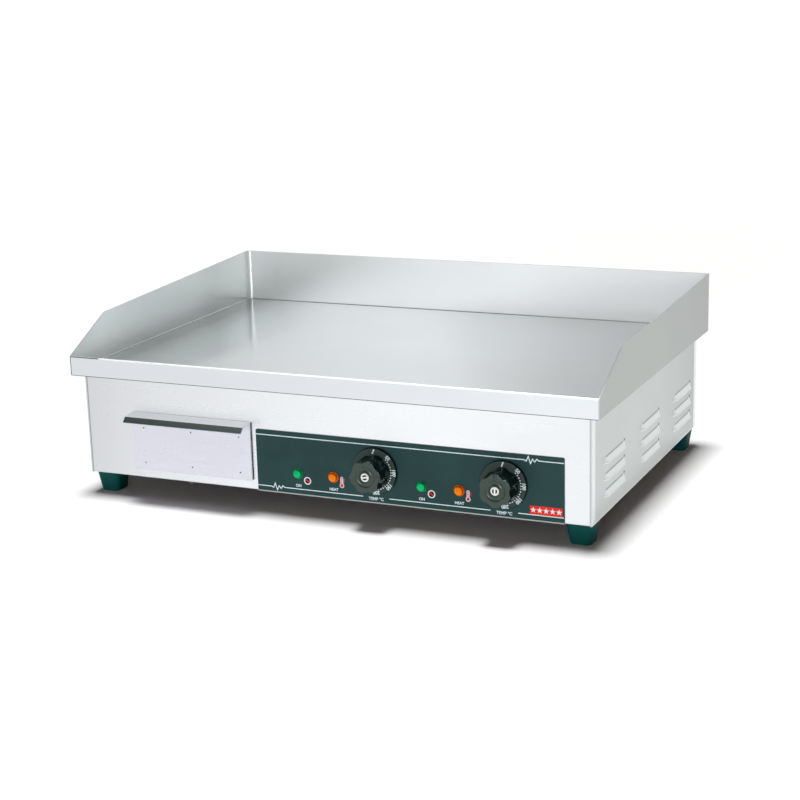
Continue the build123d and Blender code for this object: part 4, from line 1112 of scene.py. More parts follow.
@dataclass
class Casing(SubAssembly):
    """Folded sheet body with louvred sides."""

    sheet: float = 1.2 * MM
    flange: float = 12.0 * MM
    louvre_length: float = 86.0 * MM
    louvre_height: float = 8.4 * MM
    louvre_reach: float = 4.0 * MM
    louvre_end: float = 10.0 * MM
    louvre_wall: float = 1.0 * MM
    slot_height: float = 5.0 * MM
    folded: float = 0.5 * MM
    lap: float = 2.0 * MM
    lap_line: float = 0.6 * MM
    pierced: float = 1.6 * MM
    pierced_inset: float = 2.5 * MM
    columns: int = 3
    rows: int = 3
    front_margin: float = 46.0 * MM
    rear_margin: float = 32.0 * MM
    lowest: float = 23.0 * MM
    row_pitch: float = 21.0 * MM
    crease_from: float = 0.8
    hood_steps: int = 8

    def build(self) -> None:
        """Make the panels."""
        self.edged_copy("front_panel", Slot.CASING)
        self.edged_copy("rear_panel", Slot.CASING)
        self.edged_copy("base_plate", Slot.SHEET, MILL)
        for side in Side:
            self.build_side(side)

    def build_side(self, side: Side) -> None:
        """Make a side panel with its bank of louvres.

        Args:
            side: Which side.
        """
        node = f"{side.word}_side_panel"
        front = Span.of("front_panel")
        rear = Span.of("rear_panel")
        face = side.value * front.hi.x
        first = front.lo.y + self.front_margin + self.louvre_length / 2
        last = rear.hi.y - self.rear_margin - self.louvre_length / 2
        pitch = (last - first) / (self.columns - 1)
        lip = front.lo.z + self.lowest
        grid = {
            "Count": self.columns * self.rows,
            "Columns": self.columns,
            "ColumnStep": Vector((0.0, pitch, 0.0)),
            "RowStep": Vector((0.0, 0.0, self.row_pitch)),
        }
        sheet = self.channel(Span.of(node), face, side, [first + i * pitch for i in range(self.columns)], lip)
        origin = Vector((face, first, lip))
        mesh = GRID.grow(self.hood(side), CASING_Y, sheet, self.sheet, First=origin, **grid)
        panel = self.add(f"{node}_louvred", mesh, Slot.CASING, CASING_Y, (node,))
        crease = self.crease_from * self.louvre_height
        # Louvre faces that lean upwards take lighter steel as painted light, rear-facing tops a painted
        # highlight, and the upper part of each hood darker steel as painted shade.
        self.accents[panel] = [
            (LOUVRE_SOFT_LIGHT, lambda face: leans(face, 0.05)),
            (LOUVRE_TOP_LIGHT, lambda face: leans(face, 0.3)),
            (PAINTED_HIGHLIGHT, lambda face: leans(face, 0.05) and face.normal.y > 0.15),
            (
                PAINTED_CREASE_SHADE,
                lambda face: leans(face, 0.02)
                and abs(face.normal.y) < 0.1
                and (face.center.z - lip) % self.row_pitch > crease,
            ),
        ]
        section = arc((0.0, self.folded), self.folded, -90, 90, 6)
        edges = Shape().skin([
            [Vector((face + side.value * 0.5 * out, y, front.lo.z + up)) for out, up in section]
            for y in (front.lo.y + self.folded, rear.hi.y - self.folded)
        ])
        # The folded lower edges and the beads along the louvres' lips take a painted highlight.
        edges = GRID.grow(self.rolled_lip(side), PAINTED_HIGHLIGHT, edges.mesh("folded_edge"), First=origin, **grid)
        self.add(f"{side.word}_folded_edges", edges, Slot.CASING, PAINTED_HIGHLIGHT)
        self.build_lap(side, front)
        # A dark dot at each louvre's rear upper corner is a painted shadow of its open corner.
        corner = Vector((0.0, self.louvre_length / 2 - self.pierced_inset, self.louvre_height))
        r = self.pierced
        profile = [(r, 0.0), (r, INK), (0.7 * r, 2 * INK), (0.1 * r, 2 * INK)]
        stamp = Shape().lathe(profile, Vector(), 20, Vector((side.value, 0, 0))).mesh("pierced_corner")
        shadow_dots = GRID.grow(stamp, PAINTED_OPENING_SHADOW, First=origin + corner, **grid)
        self.add(f"{side.word}_louvre_corners", shadow_dots, Slot.CASING, PAINTED_OPENING_SHADOW)

    def channel(
        self, span: Span, face: float, side: Side, middles: list[float], lip: float
    ) -> bpy.types.Mesh:
        """Outer skin of a side panel with a slot behind each louvre.

        Args:
            span: The node's box.
            face: X of the panel's outer face.
            side: Which side.
            middles: Y of the louvres' middles.
            lip: Z of the lowest louvres' lips.

        Returns:
            An open sheet, its faces outwards.
        """
        half = self.louvre_length / 2 - self.louvre_end
        slots_y = [(y - half, y + half) for y in middles]
        lips = [lip + row * self.row_pitch for row in range(self.rows)]
        slots_z = [(z, z + self.slot_height) for z in lips]
        ys = [span.lo.y, *[y for pair in slots_y for y in pair], span.hi.y]
        zs = [span.lo.z, *[z for pair in slots_z for z in pair], span.hi.z]
        inner = face - side.value * self.flange
        shape = Shape()
        for y0, y1 in zip(ys, ys[1:]):
            for z in (span.lo.z, span.hi.z):
                corners = [(face, y0, z), (face, y1, z), (inner, y1, z), (inner, y0, z)]
                shape.bm.faces.new([shape.bm.verts.new(corner) for corner in corners])
            for z0, z1 in zip(zs, zs[1:]):
                if (y0, y1) in slots_y and (z0, z1) in slots_z:
                    continue
                corners = [(face, y0, z0), (face, y1, z0), (face, y1, z1), (face, y0, z1)]
                shape.bm.faces.new([shape.bm.verts.new(corner) for corner in corners])
        mesh = shape.mesh(f"{side.word}_channel")
        web = max(mesh.polygons, key=lambda polygon: abs(polygon.normal.x))
        if web.normal.x * side.value < 0:
            mesh.flip_normals()
        return mesh

    def hood(self, side: Side) -> bpy.types.Mesh:
        """One pressed louvre about its own lip: half of a soft swelling with rounded ends.

        Args:
            side: Which side it points to.

        Returns:
            A closed shell.
        """
        steps = self.hood_steps
        straight = self.louvre_length / 2 - self.louvre_end
        ends = arc((0.0, 0.0), 1.0, 0, 90, steps)
        spokes = [(-straight, -run, rise) for rise, run in reversed(ends)]
        spokes += [(straight, run, rise) for rise, run in ends]
        rings: list[Ring] = []
        for thin, order in ((0.0, range(steps, -1, -1)), (self.louvre_wall, range(steps + 1))):
            for step in order:
                share = step / steps
                out = side.value * (self.swelling(share) - thin)
                length, height = share * self.louvre_end, share * self.louvre_height
                rings.append([Vector((out, y + run * length, rise * height)) for y, run, rise in spokes])
        shape = Shape().skin([*rings, rings[0]], around=False, caps=False)
        for end in (0, -1):
            shape.bm.faces.new([shape.bm.verts.new(ring[end]) for ring in rings])
        return shape.mesh("louvre_hood", 40.0)

    def swelling(self, share: float) -> float:
        """Reach of a louvre at a share of the way from its crest to its border."""
        return self.louvre_reach * math.cos(math.pi / 2 * share) ** 2

    def rolled_lip(self, side: Side) -> bpy.types.Mesh:
        """Bead along the lower lip of one louvre, about the lip's middle.

        Args:
            side: Which side it points to.

        Returns:
            A closed bead.
        """
        straight = self.louvre_length / 2 - self.louvre_end
        shares = [i / self.hood_steps for i in range(self.hood_steps + 1)]
        path = [(straight + self.louvre_end * share, self.swelling(share)) for share in shares]
        path = [(-y, out) for y, out in reversed(path)] + path
        section = arc((0.0, 0.0), self.folded, 0, 300, 5)
        return Shape().skin([
            [Vector((side.value * (out + a), y, b)) for a, b in section] for y, out in path
        ]).mesh("rolled_lip", 70.0)

    def build_lap(self, side: Side, front: Span) -> None:
        """Side sheet's folded edge, which shows at the front corner beside the front panel, with a darker
        line beside it painted as shade in the bend.

        Args:
            side: Which side.
            front: The front panel's box.
        """
        edge = side.value * front.hi.x
        top = Span.of("front_fascia").lo.z
        for name, start, width, proud, finish in (
            ("lapped_edge", edge, self.lap, 0.5 * self.lap_line, CASING_Y),
            ("lap_line", edge - side.value * self.lap, self.lap_line, self.lap_line, PAINTED_CREASE_SHADE),
        ):
            corners = rectangle(start, start - side.value * width, front.lo.z, top)
            strip = Shape().slab(corners, front.lo.y, proud)
            self.add(f"{side.word}_{name}", strip, Slot.CASING, finish)


@dataclass
class Feet(SubAssembly):
    """Four moulded feet."""

    def build(self) -> None:
        """Make the feet."""
        for place in ("front_left", "front_right", "rear_left", "rear_right"):
            self.edged_copy(f"{place}_foot", Slot.FOOT)


@dataclass
class Drawer(SubAssembly):
    """Grease drawer with its folded front."""

    sheet: float = 1.2 * MM
    rim: float = 0.6 * MM
    mark_radius: float = 1.1 * MM
    mark_lip: float = 0.07 * MM
    mark_dent: float = 0.02 * MM
    mark_columns: int = 3
    mark_rows: int = 2
    mark_side: float = 16.5 * MM
    mark_low: float = 9.7 * MM
    mark_rise: float = 47.5 * MM

    def build(self) -> None:
        """Make the front, the tray and the weld marks."""
        sheet = self.edged_copy("drawer_front", Slot.CASING, FILM, body="drawer")
        # The handle's lip takes dark steel as a painted reflection, its top flange bright steel as a painted
        # highlight.
        self.accents[sheet] = [
            (PAINTED_LIP_SHADE, lambda face: 0.3 < face.normal.z <= 0.9),
            (REAR_GUARD, lambda face: face.normal.z > 0.9),
        ]
        self.edged_copy("grease_tray", Slot.SHEET, body="drawer")
        front = Span.of("drawer_front")
        tray = Span.of("grease_tray")
        # A dark bead along the back of the drawer front's right return is a painted shadow of the gap beside
        # it.
        section = arc((front.hi.x, front.hi.y - self.rim), self.rim, 0, 300, 5)
        heights = (front.lo.z + self.rim, front.hi.z - self.rim)
        edge = Shape().skin([[Vector((x, y, z)) for x, y in section] for z in heights])
        self.add("drawer_sheared_edge", edge, Slot.CASING, PAINTED_EDGE_SHADE, body="drawer")
        face = tray.lo.y - self.sheet
        r, lip, dent = self.mark_radius, self.mark_lip, self.mark_dent
        ring = [(r, 0.0), (0.9 * r, lip), (0.7 * r, lip), (0.5 * r, dent), (0.1 * r, dent)]
        stamp = Shape().lathe(ring, Vector(), 32).mesh("weld_mark")
        pitch = (front.size.x - 2 * self.mark_side) / (self.mark_columns - 1)
        marks = GRID.grow(
            stamp,
            SCORCH,
            Count=self.mark_columns * self.mark_rows,
            Columns=self.mark_columns,
            First=Vector((front.lo.x + self.mark_side, face, front.lo.z + self.mark_low)),
            ColumnStep=Vector((pitch, 0.0, 0.0)),
            RowStep=Vector((0.0, 0.0, self.mark_rise)),
        )
        self.add("drawer_weld_marks", marks, Slot.CASING, SCORCH, body="drawer")


@dataclass
class ControlPanel(SubAssembly):
    """Dark front panel with its printed lines, symbols and words."""

    line: float = 1.2 * MM
    margin: float = 0.5 * MM
    upper_line: float = 75.4 * MM
    lower_line: float = 7.1 * MM
    pulse_rises: tuple[float, ...] = (0.0, -1.4 * MM, 4.6 * MM, -4.2 * MM, 1.6 * MM, -1.8 * MM, 2.0 * MM, 0.0)
    pulse_step: float = 2.7 * MM
    lower_pulse: float = 19.4 * MM
    upper_pulse: float = 50.0 * MM
    word_gap: float = 18.0 * MM
    word_drop: float = 2.0 * MM
    word_size: float = 5.4 * MM
    lamp_word_size: float = 5.0 * MM
    lamp_word_drop: float = 16.4 * MM
    mains_ring: float = 4.4 * MM
    mains_stroke: float = 1.4 * MM
    mains_aside: float = 13.0 * MM
    mains_drop: float = 8.7 * MM
    wave_size: Point = (0.66, 0.3)
    wave_stroke: float = 1.7 * MM
    gauge_aside: float = 11.5 * MM
    gauge_drop: float = 10.1 * MM
    gauge_height: float = 9.6 * MM
    gauge_tube: float = 1.5 * MM
    gauge_bulb: float = 2.7 * MM
    gauge_fill: float = 2.0 * MM
    gauge_stroke: float = 0.9 * MM
    gauge_mark: Point = (3.4 * MM, 5.0 * MM)
    badge_size: Point = (41.0 * MM, 10.8 * MM)
    badge_right: float = 2.4 * MM
    badge_low: float = 8.0 * MM
    star: float = 4.0 * MM
    star_waist: float = 0.42
    stars: int = 5
    trim: float = 1.5 * MM
    span: Span = field(init=False)
    face: float = field(init=False)

    def build(self) -> None:
        """Make the panel and its print."""
        self.edged_copy("control_panel", Slot.PANEL, edge=0.25 * MM)
        self.span = Span.of("control_panel")
        self.face = self.span.lo.y
        inks = {finish: Shape() for finish in (PRINT, RED_INK, PINK_INK, DARK_INK)}
        self.draw_lines(inks[PRINT])
        for side in Side:
            self.draw_words(inks[PRINT], side)
            self.draw_mains(inks, Span.of(f"{side.word}_power_lens").mid)
            self.draw_gauge(inks, Span.of(f"{side.word}_heat_lens").mid)
        self.build_badge(inks[RED_INK])
        for finish, shape in inks.items():
            self.add(f"panel_{finish.name}", shape, Slot.PANEL, finish)
        low = Span.of("front_panel").lo.z
        corners = rectangle(self.span.lo.x, self.span.hi.x, low, low + self.trim)
        trim = Shape().slab(corners, self.face + self.trim, self.trim + INK)
        # The casing's lower edge below the panel takes the darkened guard-outside steel, as painted shade.
        self.add("panel_lower_trim", trim, Slot.CASING, SHADED_GUARD_OUT)

    def draw_lines(self, shape: Shape) -> None:
        """Print the two long lines, the lower one broken for the dials' words.

        Args:
            shape: Shape that takes the print.
        """
        left = self.span.lo.x + self.margin
        right = self.span.hi.x - self.margin
        top = self.span.lo.z + self.upper_line
        low = self.span.lo.z + self.lower_line
        stops = [left]
        for side in Side:
            middle = Span.of(f"{side.word}_dial").mid.x
            stops += [middle - self.word_gap, middle + self.word_gap]
        stops.append(right)
        zigzag = self.pulse(right - self.upper_pulse, top)
        shape.ribbon([(left, top), *zigzag, (right, top)], self.line, self.face)
        for start, end in zip(stops[::2], stops[1::2]):
            zigzag = self.pulse(left + self.lower_pulse, low) if start == left else []
            shape.ribbon([(start, low), *zigzag, (end, low)], self.line, self.face)

    def pulse(self, start: float, z: float) -> list[Point]:
        """Small zigzag on a printed line.

        Args:
            start: X where it leaves the line.
            z: Height of the line.

        Returns:
            The zigzag's points.
        """
        return [(start + i * self.pulse_step, z + rise) for i, rise in enumerate(self.pulse_rises)]

    def draw_words(self, shape: Shape, side: Side) -> None:
        """Print the words of one control and its lamps.

        Args:
            shape: Shape that takes the print.
            side: Which control.
        """
        low = self.span.lo.z + self.lower_line - self.word_drop
        dial = Span.of(f"{side.word}_dial").mid
        shape.lettering("TEMP \N{DEGREE SIGN}C", self.word_size, Vector((dial.x, self.face, low)))
        for lamp, word in (("power", "ON"), ("heat", "HEAT")):
            lens = Span.of(f"{side.word}_{lamp}_lens").mid
            place = Vector((lens.x, self.face, lens.z - self.lamp_word_drop))
            shape.lettering(word, self.lamp_word_size, place)

    def draw_mains(self, inks: dict[Finish, Shape], lens: Vector) -> None:
        """Print the mains symbol, a wave in a ring, beside a lamp.

        Args:
            inks: Shapes that take each ink.
            lens: Middle of the lamp.
        """
        centre = (lens.x + self.mains_aside, lens.z - self.mains_drop)
        ring = arc(centre, self.mains_ring, 0, 351, 39)
        inks[PRINT].ribbon(ring, self.mains_stroke, self.face, closed=True)
        inks[DARK_INK].slab(ring, self.face, INK / 2)
        reach, rise = [share * self.mains_ring for share in self.wave_size]
        shares = [i / 12 for i in range(13)]
        wave = [
            (centre[0] + reach * (2 * share - 1), centre[1] + rise * math.sin(math.tau * share))
            for share in shares
        ]
        inks[RED_INK].ribbon(wave, self.wave_stroke, self.face)

    def draw_gauge(self, inks: dict[Finish, Shape], lens: Vector) -> None:
        """Print a small thermometer beside a lamp.

        Args:
            inks: Shapes that take each ink.
            lens: Middle of the lamp.
        """
        x = lens.x + self.gauge_aside
        low = lens.z - self.gauge_drop
        top = low + self.gauge_height
        bend = math.degrees(math.asin(self.gauge_tube / self.gauge_bulb))
        tube = arc((x, top), self.gauge_tube, 0, 180, 10)
        bulb = arc((x, low), self.gauge_bulb, 90 + bend, 450 - bend, 24)
        inks[PRINT].ribbon(tube + bulb, self.gauge_stroke, self.face, closed=True)
        inks[RED_INK].slab(arc((x, low), self.gauge_fill, 0, 345, 23), self.face, INK)
        inks[PINK_INK].ribbon([(x, low), (x, top)], self.gauge_fill, self.face + INK / 2)
        aside, length = self.gauge_mark
        mark = [(x + aside, top - length), (x + aside, top)]
        inks[RED_INK].ribbon(mark, self.gauge_stroke, self.face)

    def build_badge(self, red: Shape) -> None:
        """Print a red strip with a row of pale stars in the lower right corner.

        Args:
            red: Shape that takes the red print.
        """
        width, height = self.badge_size
        right = self.span.hi.x - self.badge_right
        low = self.span.lo.z + self.badge_low
        red.slab(rectangle(right - width, right, low, low + height), self.face, INK)
        pitch = width / self.stars
        outer = arc((0.0, 0.0), self.star, 90, 378, 4)
        inner = arc((0.0, 0.0), self.star_waist * self.star, 126, 414, 4)
        points = [point for pair in zip(outer, inner) for point in pair]
        stars = GRID.grow(
            Shape().slab(points, 0.0, INK).mesh("badge_star"),
            PRINT,
            Count=self.stars,
            Columns=self.stars,
            First=Vector((right - width + pitch / 2, self.face - INK, low + height / 2)),
            ColumnStep=Vector((pitch, 0.0, 0.0)),
            RowStep=Vector(),
        )
        self.add("panel_badge_stars", stars, Slot.PANEL, PRINT)


@dataclass
class Dial(SubAssembly):
    """Fixed temperature scale round a knob."""

    side: Side
    rim: float = 1.6 * MM
    back_edge: float = 0.3 * MM
    seat: float = 5.0 * MM
    number_radius: float = 27.3 * MM
    number_size: float = 6.2 * MM
    dot_radius: float = 23.7 * MM
    dot_size: float = 0.8 * MM
    bar_half: float = 0.9 * MM
    bar_lean: float = 1.2 * MM
    bar_ends: Point = (23.1 * MM, 29.1 * MM)
    first_mark: float = 45.0
    mark_step: float = 43.0
    lowest: int = 50
    highest: int = 300
    step: int = 50
    dots_per_step: int = 5

    def build(self) -> None:
        """Make the disc and its scale."""
        node = f"{self.side.word}_dial"
        span = Span.of(node)
        radius = span.size.x / 2
        thick = span.size.y
        back = Vector((span.mid.x, span.hi.y, span.mid.z))
        face = Vector((span.mid.x, span.lo.y, span.mid.z))
        foot = [(self.seat, 0.0), (radius - self.back_edge, 0.0), (radius, self.back_edge)]
        edge = arc((radius - self.rim, thick - self.rim), self.rim, 0, 90, 6)
        shape = Shape().lathe([*foot, *edge, (self.seat, thick)], back)
        disc = self.add(f"{node}_disc", shape, Slot.DIAL, DIAL, (node,))
        # The disc's sides take the near-black grip plastic as painted shade.
        self.accents[disc] = [(GRIP, lambda face: face.normal.y > -0.8)]
        marks = Shape()
        numbers = range(self.lowest, self.highest + 1, self.step)
        for count, number in enumerate(numbers):
            angle = math.radians(self.first_mark + count * self.mark_step)
            place = face + self.number_radius * Vector((math.sin(angle), 0, math.cos(angle)))
            marks.lettering(str(number), self.number_size, place, angle)
        half, lean = self.bar_half, self.bar_lean
        low, high = self.bar_ends
        corners = [(-half - lean, low), (half - lean, low), (half + lean, high), (-half + lean, high)]
        marks.slab([(x + face.x, z + face.z) for x, z in corners], face.y, INK)
        dot = Shape().lathe([(self.dot_size, 0.0), (self.dot_size, INK)], Vector(), 16).mesh("scale_dot")
        scale = ARC.grow(
            dot,
            PRINT,
            marks.mesh("scale_numbers"),
            Count=(len(numbers) - 1) * self.dots_per_step + 1,
            Centre=face,
            Radius=self.dot_radius,
            Start=math.radians(self.first_mark),
            Step=math.radians(self.mark_step / self.dots_per_step),
        )
        self.add(f"{node}_scale", scale, Slot.DIAL, PRINT)


@dataclass
class Knob(SubAssembly):
    """Scalloped grip with a dished top, a pointer groove and a pale cap."""

    side: Side
    radius: float = 22.5 * MM
    taper: float = 3.0
    lobes: int = 6
    scallop: float = 13.0 * MM
    scallop_depth: float = 2.4 * MM
    softness: float = 1.6 * MM
    edge: float = 1.1 * MM
    foot_edge: float = 0.4 * MM
    bore: float = 3.0 * MM
    dish_inner: float = 6.8 * MM
    dish_outer: float = 13.5 * MM
    dish_depth: float = 1.8 * MM
    dish_steps: int = 12
    cap: float = 5.4 * MM
    cap_recess: float = 1.2 * MM
    cap_edge: float = 0.5 * MM
    cap_gap: float = 0.8 * MM
    tip: float = 0.2 * MM
    mark_radius: float = 3.4 * MM
    mark_spread: float = 72.0
    groove_depth: float = 1.0 * MM
    groove_sides: tuple[float, ...] = (0.0, 0.4 * MM, 0.66 * MM, 0.76 * MM)
    steps: int = 288
    setting: float = field(init=False)
    back: Vector = field(init=False)
    length: float = field(init=False)

    def build(self) -> None:
        """Make the grip and its cap."""
        node = f"{self.side.word}_knob"
        body = f"{self.side.word}_knob_set"
        joint = next(joint for joint in frame["joints"] if joint["child"] == body)
        self.setting = -math.radians(joint["range_deg"][0])
        span = Span.of(node)
        axis = Span.of(f"{self.side.word}_dial").mid
        self.back = Vector((axis.x, span.hi.y, axis.z))
        self.length = span.size.y
        rings = [self.ring(radius, reach) for radius, reach in self.profile()]
        mesh = Shape().skin(rings).mesh(f"{node}_grip", 40.0)
        grip = self.add(f"{node}_grip", mesh, Slot.KNOB, GRIP, (node,), body)
        self.accents[grip] = [(GRIP_FACE, lambda face: face.normal.y < -0.7)]
        cap_node = f"{self.side.word}_knob_cap"
        top = self.length
        rim = arc((self.cap - self.cap_edge, top - self.cap_edge), self.cap_edge, 0, 80, 5)
        cap = [(self.cap, top - self.cap_recess), *rim, (self.bore, top), (self.tip, top)]
        disc = Shape().lathe(cap, self.back, 64)
        self.add(f"{cap_node}_disc", disc, Slot.CAP, CAP, (cap_node,), body)
        marks = Shape()
        middle = (self.back.x, self.back.z)
        for start in (0, 180):
            turn = start - math.degrees(self.setting)
            half = arc(middle, self.mark_radius, turn - self.mark_spread, turn + self.mark_spread, 16)
            marks.slab(half, self.back.y - top, INK)
        self.add(f"{cap_node}_marks", marks, Slot.KNOB, DARK_INK, body=body)

    def outline(self, angle: float) -> float:
        """Radius of the grip at its foot.

        Args:
            angle: Angle from the pointer, in radians.

        Returns:
            The radius.
        """
        pitch = math.tau / self.lobes
        off = abs(abs((angle + pitch / 2) % pitch - pitch / 2) - pitch / 2)
        middle = self.radius + self.scallop - self.scallop_depth
        room = self.scallop**2 - (middle * math.sin(off)) ** 2
        if room <= 0:
            return self.radius
        cut = middle * math.cos(off) - math.sqrt(room)
        share = min(1.0, max(0.0, 0.5 + 0.5 * (cut - self.radius) / self.softness))
        return cut + (self.radius - cut) * share - self.softness * share * (1 - share)

    def profile(self) -> list[tuple[Callable[[float], float], float]]:
        """Rings of the grip from its foot to the middle of its top.

        Returns:
            Pairs of a radius by angle and a reach towards the user.
        """
        slope = math.tan(math.radians(self.taper))
        shoulder = self.length - self.edge
        sides = [(self.foot_edge, 0.0), (0.0, self.foot_edge)]
        sides += [(shoulder * share * slope, shoulder * share) for share in (0.25, 0.5, 0.75, 0.9, 1.0)]
        inset = shoulder * slope + self.edge
        round_over = arc((0.0, shoulder), self.edge, 15, 90, 5)
        sides += [(inset - x, reach) for x, reach in round_over]
        rings = [(lambda angle, cut=cut: self.outline(angle) - cut, reach) for cut, reach in sides]
        for share in (0.3, 0.65, 1.0):
            rings.append((
                lambda angle, t=share: (1 - t) * (self.outline(angle) - inset) + t * self.dish_outer,
                self.length,
            ))
        middle = (self.dish_inner + self.dish_outer) / 2
        half = (self.dish_outer - self.dish_inner) / 2
        offsets = [1 - 2 * step / self.dish_steps for step in range(1, self.dish_steps)]
        top = [(middle + half * offset, self.dish_depth * (1 - offset**2)) for offset in offsets]
        recess = self.cap + self.cap_gap
        top += [(self.dish_inner, 0.0), (recess, 0.0)]
        top += [(recess, self.cap_recess), (self.bore, self.cap_recess)]
        rings += [(lambda angle, r=r: r, self.length - drop) for r, drop in top]
        return rings

    def ring(self, radius: Callable[[float], float], reach: float) -> Ring:
        """One ring of the grip, turned to its setting, with the pointer groove sunk in.

        Args:
            radius: Radius by angle from the pointer.
            reach: Reach towards the user.

        Returns:
            The ring's points.
        """
        points: Ring = []
        last = len(self.groove_sides) - 1
        for i in range(self.steps):
            count = i - self.steps // 2
            angle = math.tau * count / self.steps
            out = radius(angle)
            depth = reach
            if abs(count) <= last:
                angle = math.copysign(math.asin(self.groove_sides[abs(count)] / out), count)
                if abs(count) < last and out >= self.dish_outer:
                    depth = min(reach, self.length - self.groove_depth)
            turned = angle + self.setting
            points.append(self.back + Vector((out * math.sin(turned), -depth, out * math.cos(turned))))
        return points


@dataclass
class Lamps(SubAssembly):
    """Four signal lamp lenses."""

    bore: float = 4.0 * MM
    flange: float = 1.2 * MM
    edge: float = 0.4 * MM
    dome_radius: float = 6.2 * MM
    crown: float = 2.4 * MM
    crown_rise: float = 0.5 * MM
    tip: float = 0.2 * MM

    def build(self) -> None:
        """Make the lenses."""
        for side in Side:
            self.build_lens(f"{side.word}_power_lens", Slot.GREEN, GREEN_SHADED_RIM)
            self.build_lens(f"{side.word}_heat_lens", Slot.ORANGE, ORANGE_SHADED_RIM)

    def build_lens(self, node: str, slot: Slot, rim: Finish) -> None:
        """Make one lens as a dome on a flange.

        Args:
            node: The CAD node that it stands for.
            slot: The record's slot that it takes its finish from.
            rim: Finish of its sides, a deeper colour painted as shade.
        """
        span = Span.of(node)
        panel = Span.of("control_panel")
        radius = span.size.x / 2
        height = panel.lo.y - span.lo.y
        round_over = self.dome_radius - self.crown
        profile = [
            (self.bore, 0.0),
            (radius, 0.0),
            (radius, self.flange - self.edge),
            (radius - self.edge, self.flange),
            (self.dome_radius, self.flange),
            *arc((self.crown, height - self.crown_rise - round_over), round_over, 0, 90, 10),
            (self.crown / 2, height - self.crown_rise / 5),
            (self.tip, height),
        ]
        centre = Vector((span.mid.x, panel.lo.y, span.mid.z))
        dome = self.add(f"{node}_dome", Shape().lathe(profile, centre, 72), slot, replaces=(node,))
        self.accents[dome] = [(rim, lambda face: face.normal.y > -0.75)]


@dataclass
class Rear(SubAssembly):
    """Cable gland and earth stud on the back."""

    def build(self) -> None:
        """Make the fittings."""
        self.edged_copy("cable_gland", Slot.NYLON, edge=0.5 * MM)
        self.edged_copy("earth_stud", Slot.FASTENER)


def dress_nodes() -> None:
    """Give every CAD node the finish of its slot."""
    for entry in frame["record"]["subparts"]:
        finish = NODE_FINISH.get(entry["node"], SLOT_FINISH[Slot(entry["material_slot"])])
        data = frame["nodes"][entry["node"]].data
        data.materials.clear()
        data.materials.append(PALETTE.of(finish))
        LOG.info("%s: %s", entry["node"], finish.name)


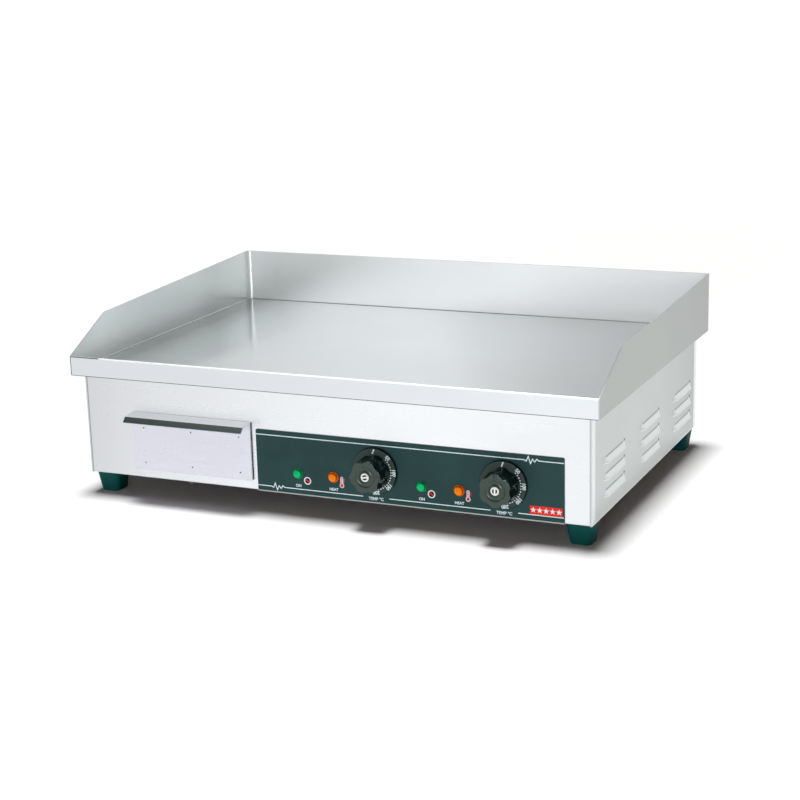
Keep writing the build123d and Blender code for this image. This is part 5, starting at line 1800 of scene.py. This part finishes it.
@dataclass
class Studio:
    """Camera, lamps, sky and floor."""

    camera_place: Vector = Vector((0.9794, -2.1757, 0.7247))
    yaw: float = math.radians(-25.29)
    pitch: float = math.radians(-15.209)
    roll: float = math.radians(-1.909)
    lens: float = 80.98
    shift: Point = (0.0434, 0.0216)
    floor_half: float = 40.0
    floor_colour: Colour = (0.94, 0.94, 0.94)
    floor_glow: float = 0.004
    ambient: float = 0.055
    ambient_tint: Colour = (1.0, 0.70, 0.63)
    horizon: float = 1.0
    ceiling: float = 0.10
    ceiling_band: Point = (0.40, 0.72)
    zenith: float = 0.45
    zenith_band: Point = (0.74, 0.92)
    sensor: float = 36.0
    lamp_distance: float = 3.0

    def build(self) -> None:
        """Set up the whole studio."""
        bpy.context.scene.view_settings.view_transform = "Standard"
        self.build_camera()
        self.build_sky()
        self.build_floor()
        self.build_lamp("overhead_lamp", Vector((-0.04, 0.03, 1.0)), spread=14.0, strength=3.2)
        self.build_lamp("front_lamp", Vector((0.10, -1.5, 0.03)), spread=16.0, strength=1.6)

    def build_camera(self) -> None:
        """Place the camera at the photograph's viewing angle."""
        ahead = Vector((
            math.sin(self.yaw) * math.cos(self.pitch),
            math.cos(self.yaw) * math.cos(self.pitch),
            math.sin(self.pitch),
        ))
        level = ahead.cross(Vector((0, 0, 1))).normalized()
        above = level.cross(ahead)
        right = math.cos(self.roll) * level + math.sin(self.roll) * above
        up = math.cos(self.roll) * above - math.sin(self.roll) * level
        data = bpy.data.cameras.new("camera")
        data.lens = self.lens
        data.sensor_width = self.sensor
        data.shift_x, data.shift_y = self.shift
        camera = bpy.data.objects.new("camera", data)
        turn = Matrix((right, up, -ahead)).transposed().to_4x4()
        camera.matrix_world = Matrix.Translation(self.camera_place) @ turn
        bpy.context.scene.collection.objects.link(camera)
        bpy.context.scene.camera = camera

    def seen(self, desk: NodeDesk) -> bpy.types.NodeSocket:
        """1 for rays that show the background itself, or show it in metal and glass.

        Args:
            desk: Desk of the tree that asks.

        Returns:
            The value's socket.
        """
        path = desk.add("ShaderNodeLightPath").outputs
        mirrored = desk.maths("MAXIMUM", path["Is Glossy Ray"], path["Is Transmission Ray"])
        return desk.maths("MAXIMUM", path["Is Camera Ray"], mirrored)

    def build_sky(self) -> None:
        """Soft light from all round, shown pale at the horizon and overhead, with a dim band between."""
        world = bpy.data.worlds.new("studio_sky")
        world.use_nodes = True
        desk = NodeDesk(world.node_tree)
        desk.tree.nodes.clear()
        direction = desk.add("ShaderNodeTexCoord").outputs["Generated"]
        height = desk.add("ShaderNodeSeparateXYZ", {0: direction}).outputs["Z"]
        steps = []
        for band, low, high in (
            (self.ceiling_band, self.horizon, self.ceiling),
            (self.zenith_band, 0.0, self.zenith),
        ):
            start, end = band
            inputs = {"Value": height, "From Min": start, "From Max": end, "To Min": low, "To Max": high}
            step = desk.add("ShaderNodeMapRange", inputs, interpolation_type="SMOOTHSTEP")
            steps.append(step.outputs["Result"])
        shown = desk.maths("ADD", *steps)
        inputs = {"Color": (*self.ambient_tint, 1.0), "Strength": self.ambient}
        around = desk.add("ShaderNodeBackground", inputs)
        backdrop = desk.add("ShaderNodeBackground", {"Color": (1.0, 1.0, 1.0, 1.0), "Strength": shown})
        inputs = {0: self.seen(desk), 1: around.outputs[0], 2: backdrop.outputs[0]}
        desk.add("ShaderNodeOutputWorld", {"Surface": desk.add("ShaderNodeMixShader", inputs).outputs[0]})
        bpy.context.scene.world = world

    def build_floor(self) -> None:
        """Plain pale floor that keeps the shadow."""
        half = self.floor_half
        mesh = bpy.data.meshes.new("floor")
        corners = [(x, y, 0.0) for x, y in rectangle(-half, half, -half, half)]
        mesh.from_pydata(corners, [], [(0, 1, 2, 3)])
        floor = bpy.data.objects.new("floor", mesh)
        bpy.context.scene.collection.objects.link(floor)
        desk = ShaderDesk(
            "floor_paper",
            Base_Color=(*self.floor_colour, 1.0),
            Roughness=0.9,
            Specular_IOR_Level=0.0,
            Emission_Color=(1.0, 1.0, 1.0, 1.0),
        )
        desk.feed("Emission Strength", desk.maths("MULTIPLY", self.seen(desk), self.floor_glow))
        mesh.materials.append(desk.material)

    def build_lamp(self, name: str, towards: Vector, spread: float, strength: float) -> None:
        """Add a soft lamp so large and far that it lights everything alike.

        Args:
            name: The lamp's name.
            towards: Direction from the griddle to the lamp.
            spread: Angle that the lamp fills, in degrees.
            strength: Its strength.
        """
        data = bpy.data.lights.new(name, "SUN")
        data.angle = math.radians(spread)
        data.energy = strength
        lamp = bpy.data.objects.new(name, data)
        lamp.location = self.lamp_distance * towards
        lamp.rotation_euler = towards.to_track_quat("Z", "Y").to_euler()
        bpy.context.scene.collection.objects.link(lamp)


def main() -> None:
    """Build and dress the griddle, then light it."""
    logging.basicConfig(level=logging.INFO, format="%(message)s")
    dress_nodes()
    assemblies: list[SubAssembly] = [Pan(), Casing(), Feet(), Drawer(), ControlPanel(), Lamps(), Rear()]
    assemblies += [Dial(side=side) for side in Side]
    assemblies += [Knob(side=side) for side in Side]
    for assembly in assemblies:
        assembly.build()
        assembly.dress()
    Studio().build()


if __name__ == "__main__":
    main()
